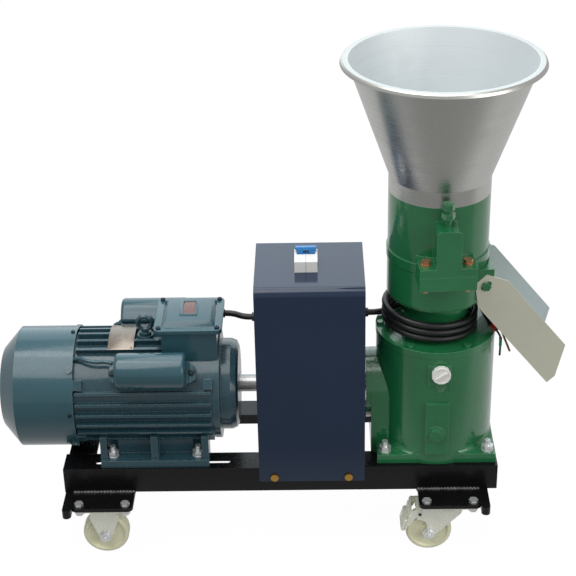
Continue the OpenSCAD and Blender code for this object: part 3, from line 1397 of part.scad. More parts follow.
coil_x = -10;
join_angle = 110;
coil_turns = 2.95;
lead_layer = lead_d + 1.8;
coil_z = lid_z + lead_r + seat_gap;
lead_start = [guard_x1, 25, coil_z + 2];
entry_r = 45;
entry_left = 42;
entry_heading = join_angle - 90;
join_at = [coil_x + loop_r * cos(join_angle), loop_r * sin(join_angle)];
entry_run = (join_at[1] - entry_r * (cos(entry_heading) - cos(entry_left))
    - lead_start[1] - entry_r * (1 - cos(entry_left))) / sin(entry_left);
entry_x = join_at[0] - entry_r * (sin(entry_left) - sin(entry_heading)) - entry_run * cos(entry_left)
    - entry_r * sin(entry_left);
rings_per_loop = 24;

function smooth(u) = u <= 0 ? 0 : u >= 1 ? 1 : u * u * (3 - 2 * u);
function layer_rise(t) = lead_layer * (floor(t) + smooth((t - floor(t) - 0.3) / 0.48));
function coil_at(t, r, z) = [coil_x + r * cos(join_angle - 360 * t), r * sin(join_angle - 360 * t), z];

entry_flat = concat(
    [[guard_x1 - 24, lead_start[1]], [entry_x, lead_start[1]]],
    [for (k = [1:4]) let (a = k * entry_left / 4)
        [entry_x + entry_r * sin(a), lead_start[1] + entry_r * (1 - cos(a))]],
    [for (k = [0:3]) let (a = entry_left + k * (entry_heading - entry_left) / 4)
        [join_at[0] - entry_r * (sin(a) - sin(entry_heading)), join_at[1] - entry_r * (cos(entry_heading) - cos(a))]]);
entry_points = [for (i = [0:len(entry_flat) - 1])
    [entry_flat[i][0], entry_flat[i][1], lead_start[2] - 2 * smooth((i - 1) / (len(entry_flat) - 1))]];
coil_points = [for (k = [0:floor(coil_turns * rings_per_loop)]) let (t = k / rings_per_loop)
    coil_at(t, loop_r, coil_z + layer_rise(t))];
lead_out = lead_d + 1.4;
out_points = [for (k = [1:7]) let (t = coil_turns + k / rings_per_loop)
    coil_at(t, loop_r + lead_out * smooth(k / 4.2), coil_z + lead_layer * 3 - 8 * smooth((k - 3) / 5))];
end_points = [[72.1, 17.4, 390.2], [74, 3.5, 386.3], [79.3, -8, 379], [85.5, -18, 372], [90.5, -26.5, 368.5]];
lead_points = concat(entry_points, coil_points, out_points, end_points);

function unit(v) = v / norm(v);
function tangent(p, i) = unit(p[min(i + 1, len(p) - 1)] - p[max(i - 1, 0)]);

// A closed tube of the given number of sides along a line of points
module tube_along(p, r, sides, up) {
    rings = [for (i = [0:len(p) - 1]) let (
        t = tangent(p, i),
        side = unit(cross(t, up)),
        top = cross(t, side))
        for (k = [0:sides - 1]) p[i] + r * (cos(k * 360 / sides) * side + sin(k * 360 / sides) * top)];
    last = (len(p) - 1) * sides;
    polyhedron(points = rings, faces = concat(
        [[for (k = [0:sides - 1]) k]],
        [[for (k = [0:sides - 1]) last + sides - 1 - k]],
        [for (i = [0:len(p) - 2], k = [0:sides - 1], h = [0, 1]) let (
            a = i * sides + k,
            b = i * sides + (k + 1) % sides)
            h == 0 ? [a, a + sides, b] : [b, a + sides, b + sides]]));
}

lead_sides = 6;

module mains_lead() color(rubber) tube_along(lead_points, lead_r, lead_sides, [0, 0, 1]);

function near_segment(q, a, b) = let (u = max(0, min(1, (q - a) * (b - a) / ((b - a) * (b - a)))))
    norm(q - a - u * (b - a));
fine_points = [for (i = [0:len(lead_points) - 2], h = [0:2])
    lead_points[i] + h / 3 * (lead_points[i + 1] - lead_points[i])];
lead_gap = min([for (i = [0:len(fine_points) - 1], j = [0:len(lead_points) - 2])
    if (abs(j - i / 3) > 5) near_segment(fine_points[i], lead_points[j], lead_points[j + 1])]) - lead_d;
lead_length = [for (i = 0, sum = 0; i < len(lead_points) - 1;
    sum = sum + norm(lead_points[i + 1] - lead_points[i]), i = i + 1) sum];
echo(least_gap_of_the_wound_lead = lead_gap, length_of_the_lead = max(lead_length));

lead_end = lead_points[len(lead_points) - 1];
end_dir = tangent(lead_points, len(lead_points) - 1);
sleeve_len = 9;
core_r = 1.7;
core_start = lead_end + end_dir * (sleeve_len - 1);
brown_core = [core_start + [2, 2, 0.3], [102.5, -34, 361.5], [107, -37.5, 351], [112.5, -36.5, 337], [117, -34, 325]];
black_core = [core_start + [-1.5, -2, 0], [98.5, -39, 358.5], [101.5, -35, 347], [102, -32, 334], [102, -30, 315]];

module along(d) rotate([0, acos(d[2]), atan2(d[1], d[0])]) children();

module lead_cores() color([0.5, 0.15, 0.1]) {
    translate(lead_end) along(end_dir) cylinder(r = lead_r + 0.4, h = sleeve_len);
    tube_along(brown_core, core_r, 6, [0.3, 1, 0]);
    tube_along(black_core, core_r, 6, [0.3, 1, 0]);
}

at_row_origin() front_rail();
at_row_origin() rear_rail();
at_row_origin() cross_members();
at_row_origin() frame_bolts();
at_row_origin() motor_housing();
at_row_origin() stator();
at_row_origin() drive_end_shield();
at_row_origin() rear_end_shield();
at_row_origin() fan_cover();
at_row_origin() motor_bearings();
at_row_origin() terminal_box();
at_row_origin() terminal_box_lid();
at_row_origin() start_capacitor_cover();
at_row_origin() run_capacitor_cover();
at_row_origin() lifting_eye();
at_row_origin() motor_lead();
at_row_origin() coupling_guard();
at_row_origin() guard_screws();
at_row_origin() breaker_body();
at_row_origin() cable_glands();
at_row_origin() gearbox_case();
at_row_origin() gearbox_cover();
at_row_origin() input_bearing_cap();
at_row_origin() oil_filler_cap();
at_row_origin() drain_plug();
at_row_origin() gearbox_bolts();
at_row_origin() gearbox_bearings();
at_row_origin() die_chamber();
at_row_origin() feed_chamber();
at_row_origin() head_bolts();
at_row_origin() adjusting_bolts();
at_row_origin() roller_axle();
at_row_origin() pellet_knife();
at_row_origin() hopper();
at_row_origin() outlet_chute();
at_row_origin() mains_lead();
at_row_origin() lead_cores();
at_row_origin() caster_housings();
at_row_origin() motor_shaft();
at_row_origin() rotor_core();
at_row_origin() cooling_fan();
at_row_origin() motor_coupling_half();
at_row_origin() coupling_spider();
at_row_origin() gearbox_coupling_half();
at_row_origin() pinion_shaft();
at_row_origin() main_shaft();
at_row_origin() crown_gear();
at_row_origin() flat_die();
at_row_origin() discharge_plate();
at_row_origin() front_roller();
at_row_origin() rear_roller();
at_row_origin() breaker_toggle();
at_row_origin() front_left_wheel();
at_row_origin() rear_left_wheel();
at_row_origin() front_swivel_fork();
at_row_origin() rear_swivel_fork();
at_row_origin() front_right_wheel();
at_row_origin() rear_right_wheel();
at_row_origin() front_brake_pedal();
at_row_origin() rear_brake_pedal();
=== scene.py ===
"""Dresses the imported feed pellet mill: finishes for every CAD node, the wound mains lead, and the fine pieces."""

from __future__ import annotations

import json
import logging
import math
from dataclasses import dataclass
from enum import Enum
from typing import Callable, Sequence

import bmesh
import bpy
from mathutils import Matrix, Vector

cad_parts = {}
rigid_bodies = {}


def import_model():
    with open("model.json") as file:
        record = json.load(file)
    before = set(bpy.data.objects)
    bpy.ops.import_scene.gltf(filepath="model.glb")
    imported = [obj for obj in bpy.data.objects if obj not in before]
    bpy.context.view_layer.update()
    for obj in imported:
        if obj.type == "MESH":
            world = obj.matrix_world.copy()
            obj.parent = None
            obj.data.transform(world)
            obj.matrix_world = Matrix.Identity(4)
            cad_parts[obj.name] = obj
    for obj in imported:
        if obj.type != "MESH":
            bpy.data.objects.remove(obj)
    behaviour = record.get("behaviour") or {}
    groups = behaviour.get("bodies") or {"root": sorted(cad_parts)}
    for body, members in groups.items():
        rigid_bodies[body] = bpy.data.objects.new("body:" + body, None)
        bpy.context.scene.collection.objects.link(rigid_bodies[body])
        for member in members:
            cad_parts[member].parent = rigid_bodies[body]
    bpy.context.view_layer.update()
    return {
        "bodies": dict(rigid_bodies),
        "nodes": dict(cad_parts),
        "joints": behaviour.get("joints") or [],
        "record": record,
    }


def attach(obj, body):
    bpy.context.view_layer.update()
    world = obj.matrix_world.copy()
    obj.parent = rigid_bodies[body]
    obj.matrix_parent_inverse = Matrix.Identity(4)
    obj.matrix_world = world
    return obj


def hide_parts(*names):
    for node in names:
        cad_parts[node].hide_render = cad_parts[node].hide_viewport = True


LOG = logging.getLogger("pellet_mill")

HEAD_X = 0.250758631
"""The head axis's X in the row frame, in metres."""

MM = 0.001
"""A millimetre in metres."""

WHITE = (1.0, 1.0, 1.0, 1.0)


def cos(degrees: float) -> float:
    """The cosine of an angle in degrees."""
    return math.cos(math.radians(degrees))


def sin(degrees: float) -> float:
    """The sine of an angle in degrees."""
    return math.sin(math.radians(degrees))


def spot(x: float, y: float, z: float) -> Vector:
    """A point of the machine, given in millimetres from the head axis, as a row point in metres."""
    return Vector((HEAD_X + x * MM, y * MM, z * MM))


def linear(code: str) -> tuple[float, float, float, float]:
    """The linear colour of an sRGB code such as 1A6B3A.

    Args:
        code: six hexadecimal digits.

    Returns:
        Red, green, blue and an alpha of one.
    """
    parts = [int(code[k : k + 2], 16) / 255 for k in (0, 2, 4)]
    low = [p / 12.92 if p <= 0.04045 else ((p + 0.055) / 1.055) ** 2.4 for p in parts]
    return (low[0], low[1], low[2], 1.0)


# ---- shader maths ----


@dataclass(frozen=True)
class Value:
    """A socket of a shader tree that can be used in sums."""

    shade: "Shade"
    socket: bpy.types.NodeSocket

    def _math(self, operation: str, first: object, second: object) -> "Value":
        """A Math node on two numbers or sockets."""
        return self.shade.node("ShaderNodeMath", {"operation": operation}, {0: first, 1: second})

    def __add__(self, other: object) -> "Value":
        """This plus other."""
        return self._math("ADD", self, other)

    def __radd__(self, other: object) -> "Value":
        """Other plus this."""
        return self._math("ADD", other, self)

    def __sub__(self, other: object) -> "Value":
        """This less other."""
        return self._math("SUBTRACT", self, other)

    def __rsub__(self, other: object) -> "Value":
        """Other less this."""
        return self._math("SUBTRACT", other, self)

    def __mul__(self, other: object) -> "Value":
        """This times other."""
        return self._math("MULTIPLY", self, other)

    def __rmul__(self, other: object) -> "Value":
        """Other times this."""
        return self._math("MULTIPLY", other, self)

    def power(self, exponent: float) -> "Value":
        """This raised to a power."""
        return self._math("POWER", self, exponent)

    def span(self, low: float, high: float, out_low: float = 0.0, out_high: float = 1.0) -> "Value":
        """This mapped from one range to another, and held inside it."""
        return self.shade.node(
            "ShaderNodeMapRange",
            {"clamp": True},
            {"Value": self, "From Min": low, "From Max": high, "To Min": out_low, "To Max": out_high},
        )


class Shade:
    """A material's node tree with one Principled shader."""

    def __init__(self, name: str) -> None:
        """Makes the material and its output.

        Args:
            name: the material's name.
        """
        self.material = bpy.data.materials.new(name)
        self.material.use_nodes = True
        self.tree = self.material.node_tree
        self.tree.nodes.clear()
        self.output = self.tree.nodes.new("ShaderNodeOutputMaterial")
        self.surface = self.tree.nodes.new("ShaderNodeBsdfPrincipled")
        self.tree.links.new(self.surface.outputs[0], self.output.inputs["Surface"])
        self._place: Value | None = None

    def node(
        self,
        kind: str,
        settings: dict[str, object] | None = None,
        inputs: dict[object, object] | None = None,
        out: object = 0,
    ) -> Value:
        """Adds a node.

        Args:
            kind: the node's type name.
            settings: its properties, set before its sockets.
            inputs: values or links by socket name or index.
            out: the output socket that is returned.

        Returns:
            The chosen output as a Value.
        """
        made = self.tree.nodes.new(kind)
        for key, value in (settings or {}).items():
            setattr(made, key, value)
        for key, value in (inputs or {}).items():
            if isinstance(value, Value):
                self.tree.links.new(value.socket, made.inputs[key])
            else:
                made.inputs[key].default_value = value
        return Value(self, made.outputs[out])

    def place(self) -> Value:
        """Object coordinates."""
        if self._place is None:
            self._place = self.node("ShaderNodeTexCoord", out="Object")
        return self._place

    def axis(self, name: str) -> Value:
        """One object coordinate: X, Y or Z."""
        return self.node("ShaderNodeSeparateXYZ", None, {0: self.place()}, name)

    def stretched(self, scale: Sequence[float]) -> Value:
        """Object coordinates scaled by axis."""
        return self.node("ShaderNodeMapping", None, {"Vector": self.place(), "Scale": tuple(scale)})

    def noise(self, scale: float, detail: float = 3.0, rough: float = 0.55, at: Value | None = None) -> Value:
        """Noise from 0 to 1."""
        return self.node(
            "ShaderNodeTexNoise",
            None,
            {"Vector": at or self.place(), "Scale": scale, "Detail": detail, "Roughness": rough},
        )

    def cells(self, scale: float, out: str = "Color") -> Value:
        """Voronoi cells: the colour of each, or the distance to its middle."""
        return self.node("ShaderNodeTexVoronoi", None, {"Vector": self.place(), "Scale": scale}, out)

    def blend(self, share: object, low: object, high: object) -> Value:
        """A colour between low and high."""
        return self.node("ShaderNodeMix", {"data_type": "RGBA", "clamp_factor": True}, {0: share, 6: low, 7: high}, 2)

    def edges(self, radius: float) -> Value:
        """One along sharp edges, and nought a radius in metres away from them."""
        turned = self.node("ShaderNodeBevel", {"samples": 6}, {"Radius": radius})
        flat = self.node("ShaderNodeNewGeometry", out="True Normal")
        same = self.node("ShaderNodeVectorMath", {"operation": "DOT_PRODUCT"}, {0: turned, 1: flat}, "Value")
        return (1 - same).span(0.02, 0.28)

    def bump(self, height: Value, depth: float, edge: float = 0.0) -> Value:
        """A normal from a height.

        Args:
            height: the height, from 0 to 1.
            depth: how deep the height is, in metres.
            edge: the radius to which sharp edges look rounded, in metres, or zero.

        Returns:
            The normal.
        """
        inputs: dict[object, object] = {"Height": height, "Distance": depth}
        if edge > 0:
            inputs["Normal"] = self.node("ShaderNodeBevel", {"samples": 4}, {"Radius": edge})
        return self.node("ShaderNodeBump", None, inputs)

    def dress(self, **values: object) -> bpy.types.Material:
        """Sets the Principled shader's sockets and gives the material.

        Args:
            values: socket names with underscores for spaces, and their values or links.

        Returns:
            The finished material.
        """
        for key, value in values.items():
            socket = self.surface.inputs[key.replace("_", " ")]
            if isinstance(value, Value):
                self.tree.links.new(value.socket, socket)
            else:
                socket.default_value = value
        return self.material


def dim(colour: Sequence[float], share: float) -> tuple[float, float, float, float]:
    """A colour made darker or lighter by a share."""
    return (min(colour[0] * share, 1), min(colour[1] * share, 1), min(colour[2] * share, 1), 1.0)


# ---- finishes ----


class Finish:
    """Something that can make a material."""

    def material(self) -> bpy.types.Material:
        """Makes the material."""
        raise NotImplementedError


@dataclass(frozen=True)
class Enamel(Finish):
    """Sprayed gloss paint, with the casting's texture under it and dust in patches."""

    name: str
    code: str
    rough: float = 0.3
    cast: float = 0.0
    peel: float = 0.00012
    coat: float = 0.4
    mottle: float = 0.12
    grime: float = 0.25
    edge: float = 0.0012
    gloss: float = 0.5
    coat_rough: float = 0.08
    # The lighter edge colour and its share are a painted highlight: the lamps' glints on rounded edges, put into the
    # paint's colour.
    edge_highlight_code: str = "9CB4B8"
    edge_highlight: float = 0.45
    cloud_scale: float = 9.0
    dust_scale: float = 38.0
    speck_scale: float = 160.0
    peel_scale: float = 420.0
    lump_scale: float = 70.0
    pit_scale: float = 210.0

    def material(self) -> bpy.types.Material:
        """Makes the paint."""
        shade = Shade(self.name)
        colour = linear(self.code)
        cloud = shade.noise(self.cloud_scale, 4.0)
        base = shade.blend(cloud.span(0.35, 0.7), dim(colour, 1 - self.mottle), dim(colour, 1 + self.mottle))
        dust = shade.noise(self.dust_scale, 6.0, 0.7).span(0.56, 0.8) * self.grime
        base = shade.blend(dust, base, dim(colour, 0.55))
        # Painted highlight: the paint turns towards a lighter colour along sharp edges, where the lamps would glint.
        if self.edge_highlight > 0:
            base = shade.blend(shade.edges(self.edge * 1.3) * self.edge_highlight, base, linear(self.edge_highlight_code))
        height, depth = shade.noise(self.peel_scale, 2.0), self.peel
        if self.cast > 0:
            lumps = shade.noise(self.lump_scale, 4.0, 0.6)
            pits = shade.cells(self.pit_scale, "Distance").span(0.0, 0.5)
            height, depth = lumps + pits * 0.25 + height * 0.12, self.cast
        speck = shade.noise(self.speck_scale, 2.0)
        return shade.dress(
            Base_Color=base,
            Roughness=speck.span(0.3, 0.75, self.rough * 0.8, self.rough * 1.35),
            Normal=shade.bump(height, depth, self.edge),
            Coat_Weight=self.coat,
            Coat_Roughness=self.coat_rough,
            Specular_IOR_Level=self.gloss,
        )


@dataclass(frozen=True)
class Metal(Finish):
    """Bare or plated metal with fine marks along one axis and a little tarnish."""

    name: str
    code: str
    rough: float = 0.3
    metallic: float = 1.0
    grain: tuple[float, float, float] = (1.0, 1.0, 1.0)
    fine: float = 600.0
    tarnish: float = 0.3
    tarnish_code: str = "5A5248"
    tarnish_scale: float = 26.0
    depth: float = 0.00003

    def material(self) -> bpy.types.Material:
        """Makes the metal."""
        shade = Shade(self.name)
        colour = linear(self.code)
        lines = shade.noise(self.fine, 3.0, 0.6, shade.stretched(self.grain))
        cloud = shade.noise(self.tarnish_scale, 5.0, 0.65)
        base = shade.blend(lines.span(0.3, 0.75), dim(colour, 0.82), dim(colour, 1.1))
        base = shade.blend(cloud.span(0.52, 0.8) * self.tarnish, base, linear(self.tarnish_code))
        rough = lines.span(0.25, 0.8, self.rough * 0.75, self.rough * 1.3) + cloud.span(0.5, 0.8) * 0.12
        return shade.dress(
            Base_Color=base, Metallic=self.metallic, Roughness=rough, Normal=shade.bump(lines, self.depth)
        )


@dataclass(frozen=True)
class SpunSheet(Finish):
    """Spun aluminium: polished rings outside with soft smudges, and a satin inside whose colour is painted paler and
    bluer, as painted light falling into the cone.

    The middle of the cone's wall starts at a radius neck_r, at the height neck_z, and widens by its slope.
    """

    name: str
    code: str
    inner_satin_and_painted_light_code: str
    rough: float = 0.3
    inner_rough: float = 0.5
    smudge_code: str = "85827C"
    smudge_scale: float = 11.0
    fine_rings: tuple[float, float, float] = (3.0, 3.0, 900.0)
    broad_rings: tuple[float, float, float] = (2.0, 2.0, 160.0)
    neck_r: float = 0.0782
    neck_z: float = 0.625
    slope: float = 0.3507
    edge: float = 0.0004

    def inside(self, shade: Shade) -> Value:
        """One on the cone's inner side, and nought outside, from the distance to the head's axis."""
        off = shade.axis("X") - HEAD_X
        wide = shade.axis("Y")
        reach = (off * off + wide * wide).power(0.5)
        wall = (shade.axis("Z") - self.neck_z).span(0.0, 1.0, 0.0, self.slope) + self.neck_r
        return (wall - reach).span(-self.edge, self.edge)

    def material(self) -> bpy.types.Material:
        """Makes the spun sheet."""
        shade = Shade(self.name)
        inner = self.inside(shade)
        rings = shade.noise(1.0, 4.0, 0.6, shade.stretched(self.fine_rings))
        coarse = shade.noise(1.0, 2.0, 0.5, shade.stretched(self.broad_rings))
        smudge = shade.noise(self.smudge_scale, 5.0, 0.6)
        # The inside's colour is partly its satin finish and partly painted light: paler and bluer, for the light that
        # falls into the cone.
        base = shade.blend(inner, linear(self.code), linear(self.inner_satin_and_painted_light_code))
        base = shade.blend(rings.span(0.3, 0.7) * 0.07, base, dim(WHITE, 0.1))
        base = shade.blend(smudge.span(0.55, 0.8) * 0.12, base, linear(self.smudge_code))
        rough = rings.span(0.3, 0.7, self.rough * 0.8, self.rough * 1.2) + smudge.span(0.4, 0.75) * 0.08
        return shade.dress(
            Base_Color=base,
            Metallic=1 - inner * 0.6,
            Roughness=rough + inner * (self.inner_rough - self.rough),
            Anisotropic=0.3,
            Normal=shade.bump(rings * 0.5 + coarse, 0.00004),
        )


@dataclass(frozen=True)
class Galvanised(Finish):
    """Hot-dip galvanised sheet with its spangle, painted warm in front and bluish behind, as painted light on its near
    and far walls.
    """

    name: str
    code: str
    far_wall_bluish_light_code: str
    rough: float = 0.36
    metallic: float = 0.5
    middle_y: tuple[float, float] = (-0.045, 0.045)
    flake_scales: tuple[float, float] = (110.0, 260.0)
    flake_shares: tuple[float, float] = (0.65, 0.35)
    stain_scale: float = 7.0
    wave_scale: float = 90.0
    depth: float = 0.00002

    def material(self) -> bpy.types.Material:
        """Makes the galvanised sheet."""
        shade = Shade(self.name)
        # Painted light: the near wall's colour is warm and the far wall's bluish, for how each is lit.
        near_warm_far_bluish_light = shade.blend(shade.axis("Y").span(*self.middle_y), linear(self.code), linear(self.far_wall_bluish_light_code))
        flakes, small = (
            shade.node("ShaderNodeSeparateColor", None, {0: shade.cells(scale)}) * share
            for scale, share in zip(self.flake_scales, self.flake_shares)
        )
        mix = flakes + small
        base = shade.blend(mix.span(0.0, 1.0, 0.0, 0.1), near_warm_far_bluish_light, dim(WHITE, 0.5))
        stain = shade.noise(self.stain_scale, 3.0, 0.5).span(0.5, 0.8) * 0.16
        base = shade.blend(stain, base, dim(WHITE, 0.42))
        return shade.dress(
            Base_Color=base,
            Metallic=self.metallic,
            Roughness=mix.span(0.1, 0.9, self.rough * 0.92, self.rough * 1.12),
            Normal=shade.bump(shade.noise(self.wave_scale, 2.0), self.depth),
        )


@dataclass(frozen=True)
class Moulded(Finish):
    """Moulded plastic or rubber with a fine grain."""

    name: str
    code: str
    rough: float = 0.45
    grain: float = 500.0
    depth: float = 0.00004
    mottle: float = 0.06
    dirt: float = 0.1
    dirt_code: str = "4A463E"
    soft: float = 0.0
    cloud_scale: float = 22.0
    dirt_scale: float = 60.0

    def material(self) -> bpy.types.Material:
        """Makes the plastic or the rubber."""
        shade = Shade(self.name)
        colour = linear(self.code)
        fine = shade.noise(self.grain, 2.0)
        cloud = shade.noise(self.cloud_scale, 4.0, 0.6)
        base = shade.blend(cloud.span(0.3, 0.7), dim(colour, 1 - self.mottle), dim(colour, 1 + self.mottle))
        dirt = shade.noise(self.dirt_scale, 6.0, 0.7).span(0.55, 0.8) * self.dirt
        base = shade.blend(dirt, base, linear(self.dirt_code))
        return shade.dress(
            Base_Color=base,
            Roughness=fine.span(0.3, 0.75, self.rough * 0.85, self.rough * 1.2),
            Normal=shade.bump(fine, self.depth),
            Subsurface_Weight=self.soft,
            Subsurface_Radius=(0.004, 0.004, 0.003),
        )


class Look(Enum):
    """Each finish of the machine, by what wears it."""

    MOTOR = Enamel("motor_enamel", "2F545F", 0.24, 0.0, 0.0001, 0.4, 0.05, 0.2, gloss=0.35)
    MOTOR_CAST = Enamel("motor_cast_enamel", "2B4B56", 0.26, 0.0002, 0.0001, 0.4, 0.07, 0.35, gloss=0.35)
    GREEN = Enamel("gearbox_cast_enamel", "1F7244", 0.2, 0.0005, 0.0001, 0.6, 0.1, 0.35, edge_highlight_code="86C49E")
    GREEN_SMOOTH = Enamel("gearbox_smooth_enamel", "1F7244", 0.18, 0.0, 0.00012, 0.6, 0.08, 0.25, edge_highlight_code="86C49E")
    NAVY = Enamel(
        "guard_navy_enamel", "1A2C46", 0.14, 0.0, 0.00006, 0.5, 0.05, 0.1, gloss=0.2, coat_rough=0.04, edge_highlight=0.0
    )
    BLACK = Enamel("frame_black_paint", "0C0C0D", 0.3, 0.0, 0.00022, 0.1, 0.2, 0.3, gloss=0.25, edge_highlight=0.0)
    HOPPER = SpunSheet("hopper_spun_sheet", "C6C6C2", "D5DBDE", 0.28)
    CHUTE = Galvanised("chute_galvanised_sheet", "DEDFCB", "D2E0E6", 0.36)
    ZINC = Metal("fastener_zinc_plate", "E6E9EA", 0.24, 0.7, tarnish=0.35, tarnish_code="6E6A5C")
    CASTER = Metal("caster_zinc_plate", "F2F3E6", 0.28, 0.4, tarnish=0.2, tarnish_code="A4A292")
    YELLOW_ZINC = Metal("screw_yellow_zinc", "C79A4A", 0.3, 1.0, tarnish=0.4, tarnish_code="6A4A1E")
    COPPER = Metal("clamp_bolt_plating", "DC9E7C", 0.26, 0.75, tarnish=0.25, tarnish_code="7A4628")
    STEEL = Metal("shaft_ground_steel", "A2A2A2", 0.28, 1.0, grain=(400.0, 1.0, 1.0), fine=1.0)
    DARK_STEEL = Metal("die_hardened_steel", "7C7A78", 0.36, 1.0, tarnish=0.5, tarnish_code="3E362E")
    IRON = Metal("coupling_machined_iron", "6A6C6E", 0.42, 1.0, tarnish=0.5, tarnish_code="3A2E26")
    NYLON = Moulded("wheel_nylon", "F2F1D2", 0.4, 260.0, 0.00006, 0.03, 0.14, "A09A70", 0.15)
    RUBBER = Moulded("lead_sheath", "17181A", 0.42, 900.0, 0.00003, 0.12, 0.2, "3A3834")
    BLACK_PLASTIC = Moulded("black_plastic", "1B1C1E", 0.4)
    WHITE_PLASTIC = Moulded("white_plastic", "ECECEA", 0.35, 500.0, 0.00003, 0.02, 0.08, "9A968A")
    CAP_WHITE = Moulded("filler_cap_plastic", "F0F0EC", 0.3, 300.0, 0.00003, 0.02, 0.1, "A8A498")
    BLUE = Moulded("toggle_plastic", "2E7FC4", 0.32)
    RED = Moulded("spider_red", "A82A1C", 0.45)
    DARK_SCREW = Metal("lid_screw_steel", "3A4448", 0.4, 0.9, tarnish=0.3, tarnish_code="1E2426")
    PLATE = Metal("bare_plate_metal", "8A8177", 0.3, 0.85, (1.0, 1.6, 1.6), 330.0, 0.55, "4A3E34")
    PANE = Moulded("smoked_pane", "6E4B47", 0.2, 300.0, 0.00001, 0.1, 0.2, "5A4440")
    WELD = Enamel("weld_black_paint", "242426", 0.12, 0.0, 0.0005, 0.9, 0.3, 0.3, edge_highlight=0.0)
    SEAM = Moulded("breaker_seam", "8E8E8A", 0.6)
    STATOR = Metal("stator_laminations", "6E665C", 0.5, 0.8, grain=(900.0, 1.0, 1.0), fine=1.0)
    CORE_BROWN = Moulded("core_brown", "8A4A22", 0.35)
    CORE_BLACK = Moulded("core_black", "202022", 0.35)
    SLEEVE_GREEN = Moulded("core_green", "1E8A5A", 0.35)
    SLEEVE_RED = Moulded("sleeve_red", "C0301E", 0.4)


NODE_LOOKS: dict[Look, tuple[str, ...]] = {
    Look.BLACK: ("front_rail", "rear_rail", "cross_members"),
    Look.ZINC: ("frame_bolts",),
    Look.MOTOR_CAST: ("motor_housing", "drive_end_shield", "rear_end_shield", "lifting_eye"),
    Look.MOTOR: ("fan_cover", "terminal_box", "terminal_box_lid", "start_capacitor_cover", "run_capacitor_cover"),
    Look.STATOR: ("stator", "rotor_core"),
    Look.STEEL: ("motor_shaft", "pinion_shaft", "main_shaft", "roller_axle", "motor_bearings", "gearbox_bearings"),
    Look.BLACK_PLASTIC: ("cooling_fan", "cable_glands"),
    Look.RUBBER: ("motor_lead", "mains_lead", "lead_cores"),
    Look.NAVY: ("coupling_guard",),
    Look.YELLOW_ZINC: ("guard_screws",),
    Look.WHITE_PLASTIC: ("breaker_body",),
    Look.BLUE: ("breaker_toggle",),
    Look.GREEN: ("gearbox_case", "gearbox_cover", "input_bearing_cap", "die_chamber", "feed_chamber"),
    Look.GREEN_SMOOTH: ("drain_plug", "gearbox_bolts", "adjusting_bolts"),
    Look.CAP_WHITE: ("oil_filler_cap",),
    Look.COPPER: ("head_bolts",),
    Look.DARK_STEEL: ("flat_die", "front_roller", "rear_roller", "pellet_knife", "discharge_plate", "crown_gear"),
    Look.HOPPER: ("hopper",),
    Look.CHUTE: ("outlet_chute",),
    Look.CASTER: ("caster_housings", "front_swivel_fork", "rear_swivel_fork", "front_brake_pedal", "rear_brake_pedal"),
    Look.IRON: ("motor_coupling_half", "gearbox_coupling_half"),
    Look.RED: ("coupling_spider",),
    Look.NYLON: ("front_left_wheel", "rear_left_wheel", "front_right_wheel", "rear_right_wheel"),
}


class Wardrobe:
    """Makes each material once and puts it on things."""

    def __init__(self) -> None:
        """Starts empty."""
        self._made: dict[Look, bpy.types.Material] = {}

    def get(self, look: Look) -> bpy.types.Material:
        """The material of a look."""
        if look not in self._made:
            self._made[look] = look.value.material()
        return self._made[look]

    def wear(self, thing: bpy.types.Object, look: Look) -> None:
        """Gives a piece its one material."""
        thing.data.materials.clear()
        thing.data.materials.append(self.get(look))

    def dress_nodes(self, nodes: dict[str, bpy.types.Object]) -> None:
        """Gives every CAD node its material.

        Args:
            nodes: the frame's nodes by name.
        """
        for look, names in NODE_LOOKS.items():
            for name in names:
                self.wear(nodes[name], look)
                LOG.info("%s wears %s", name, look.name)


# ---- the camera, the lights and the room ----


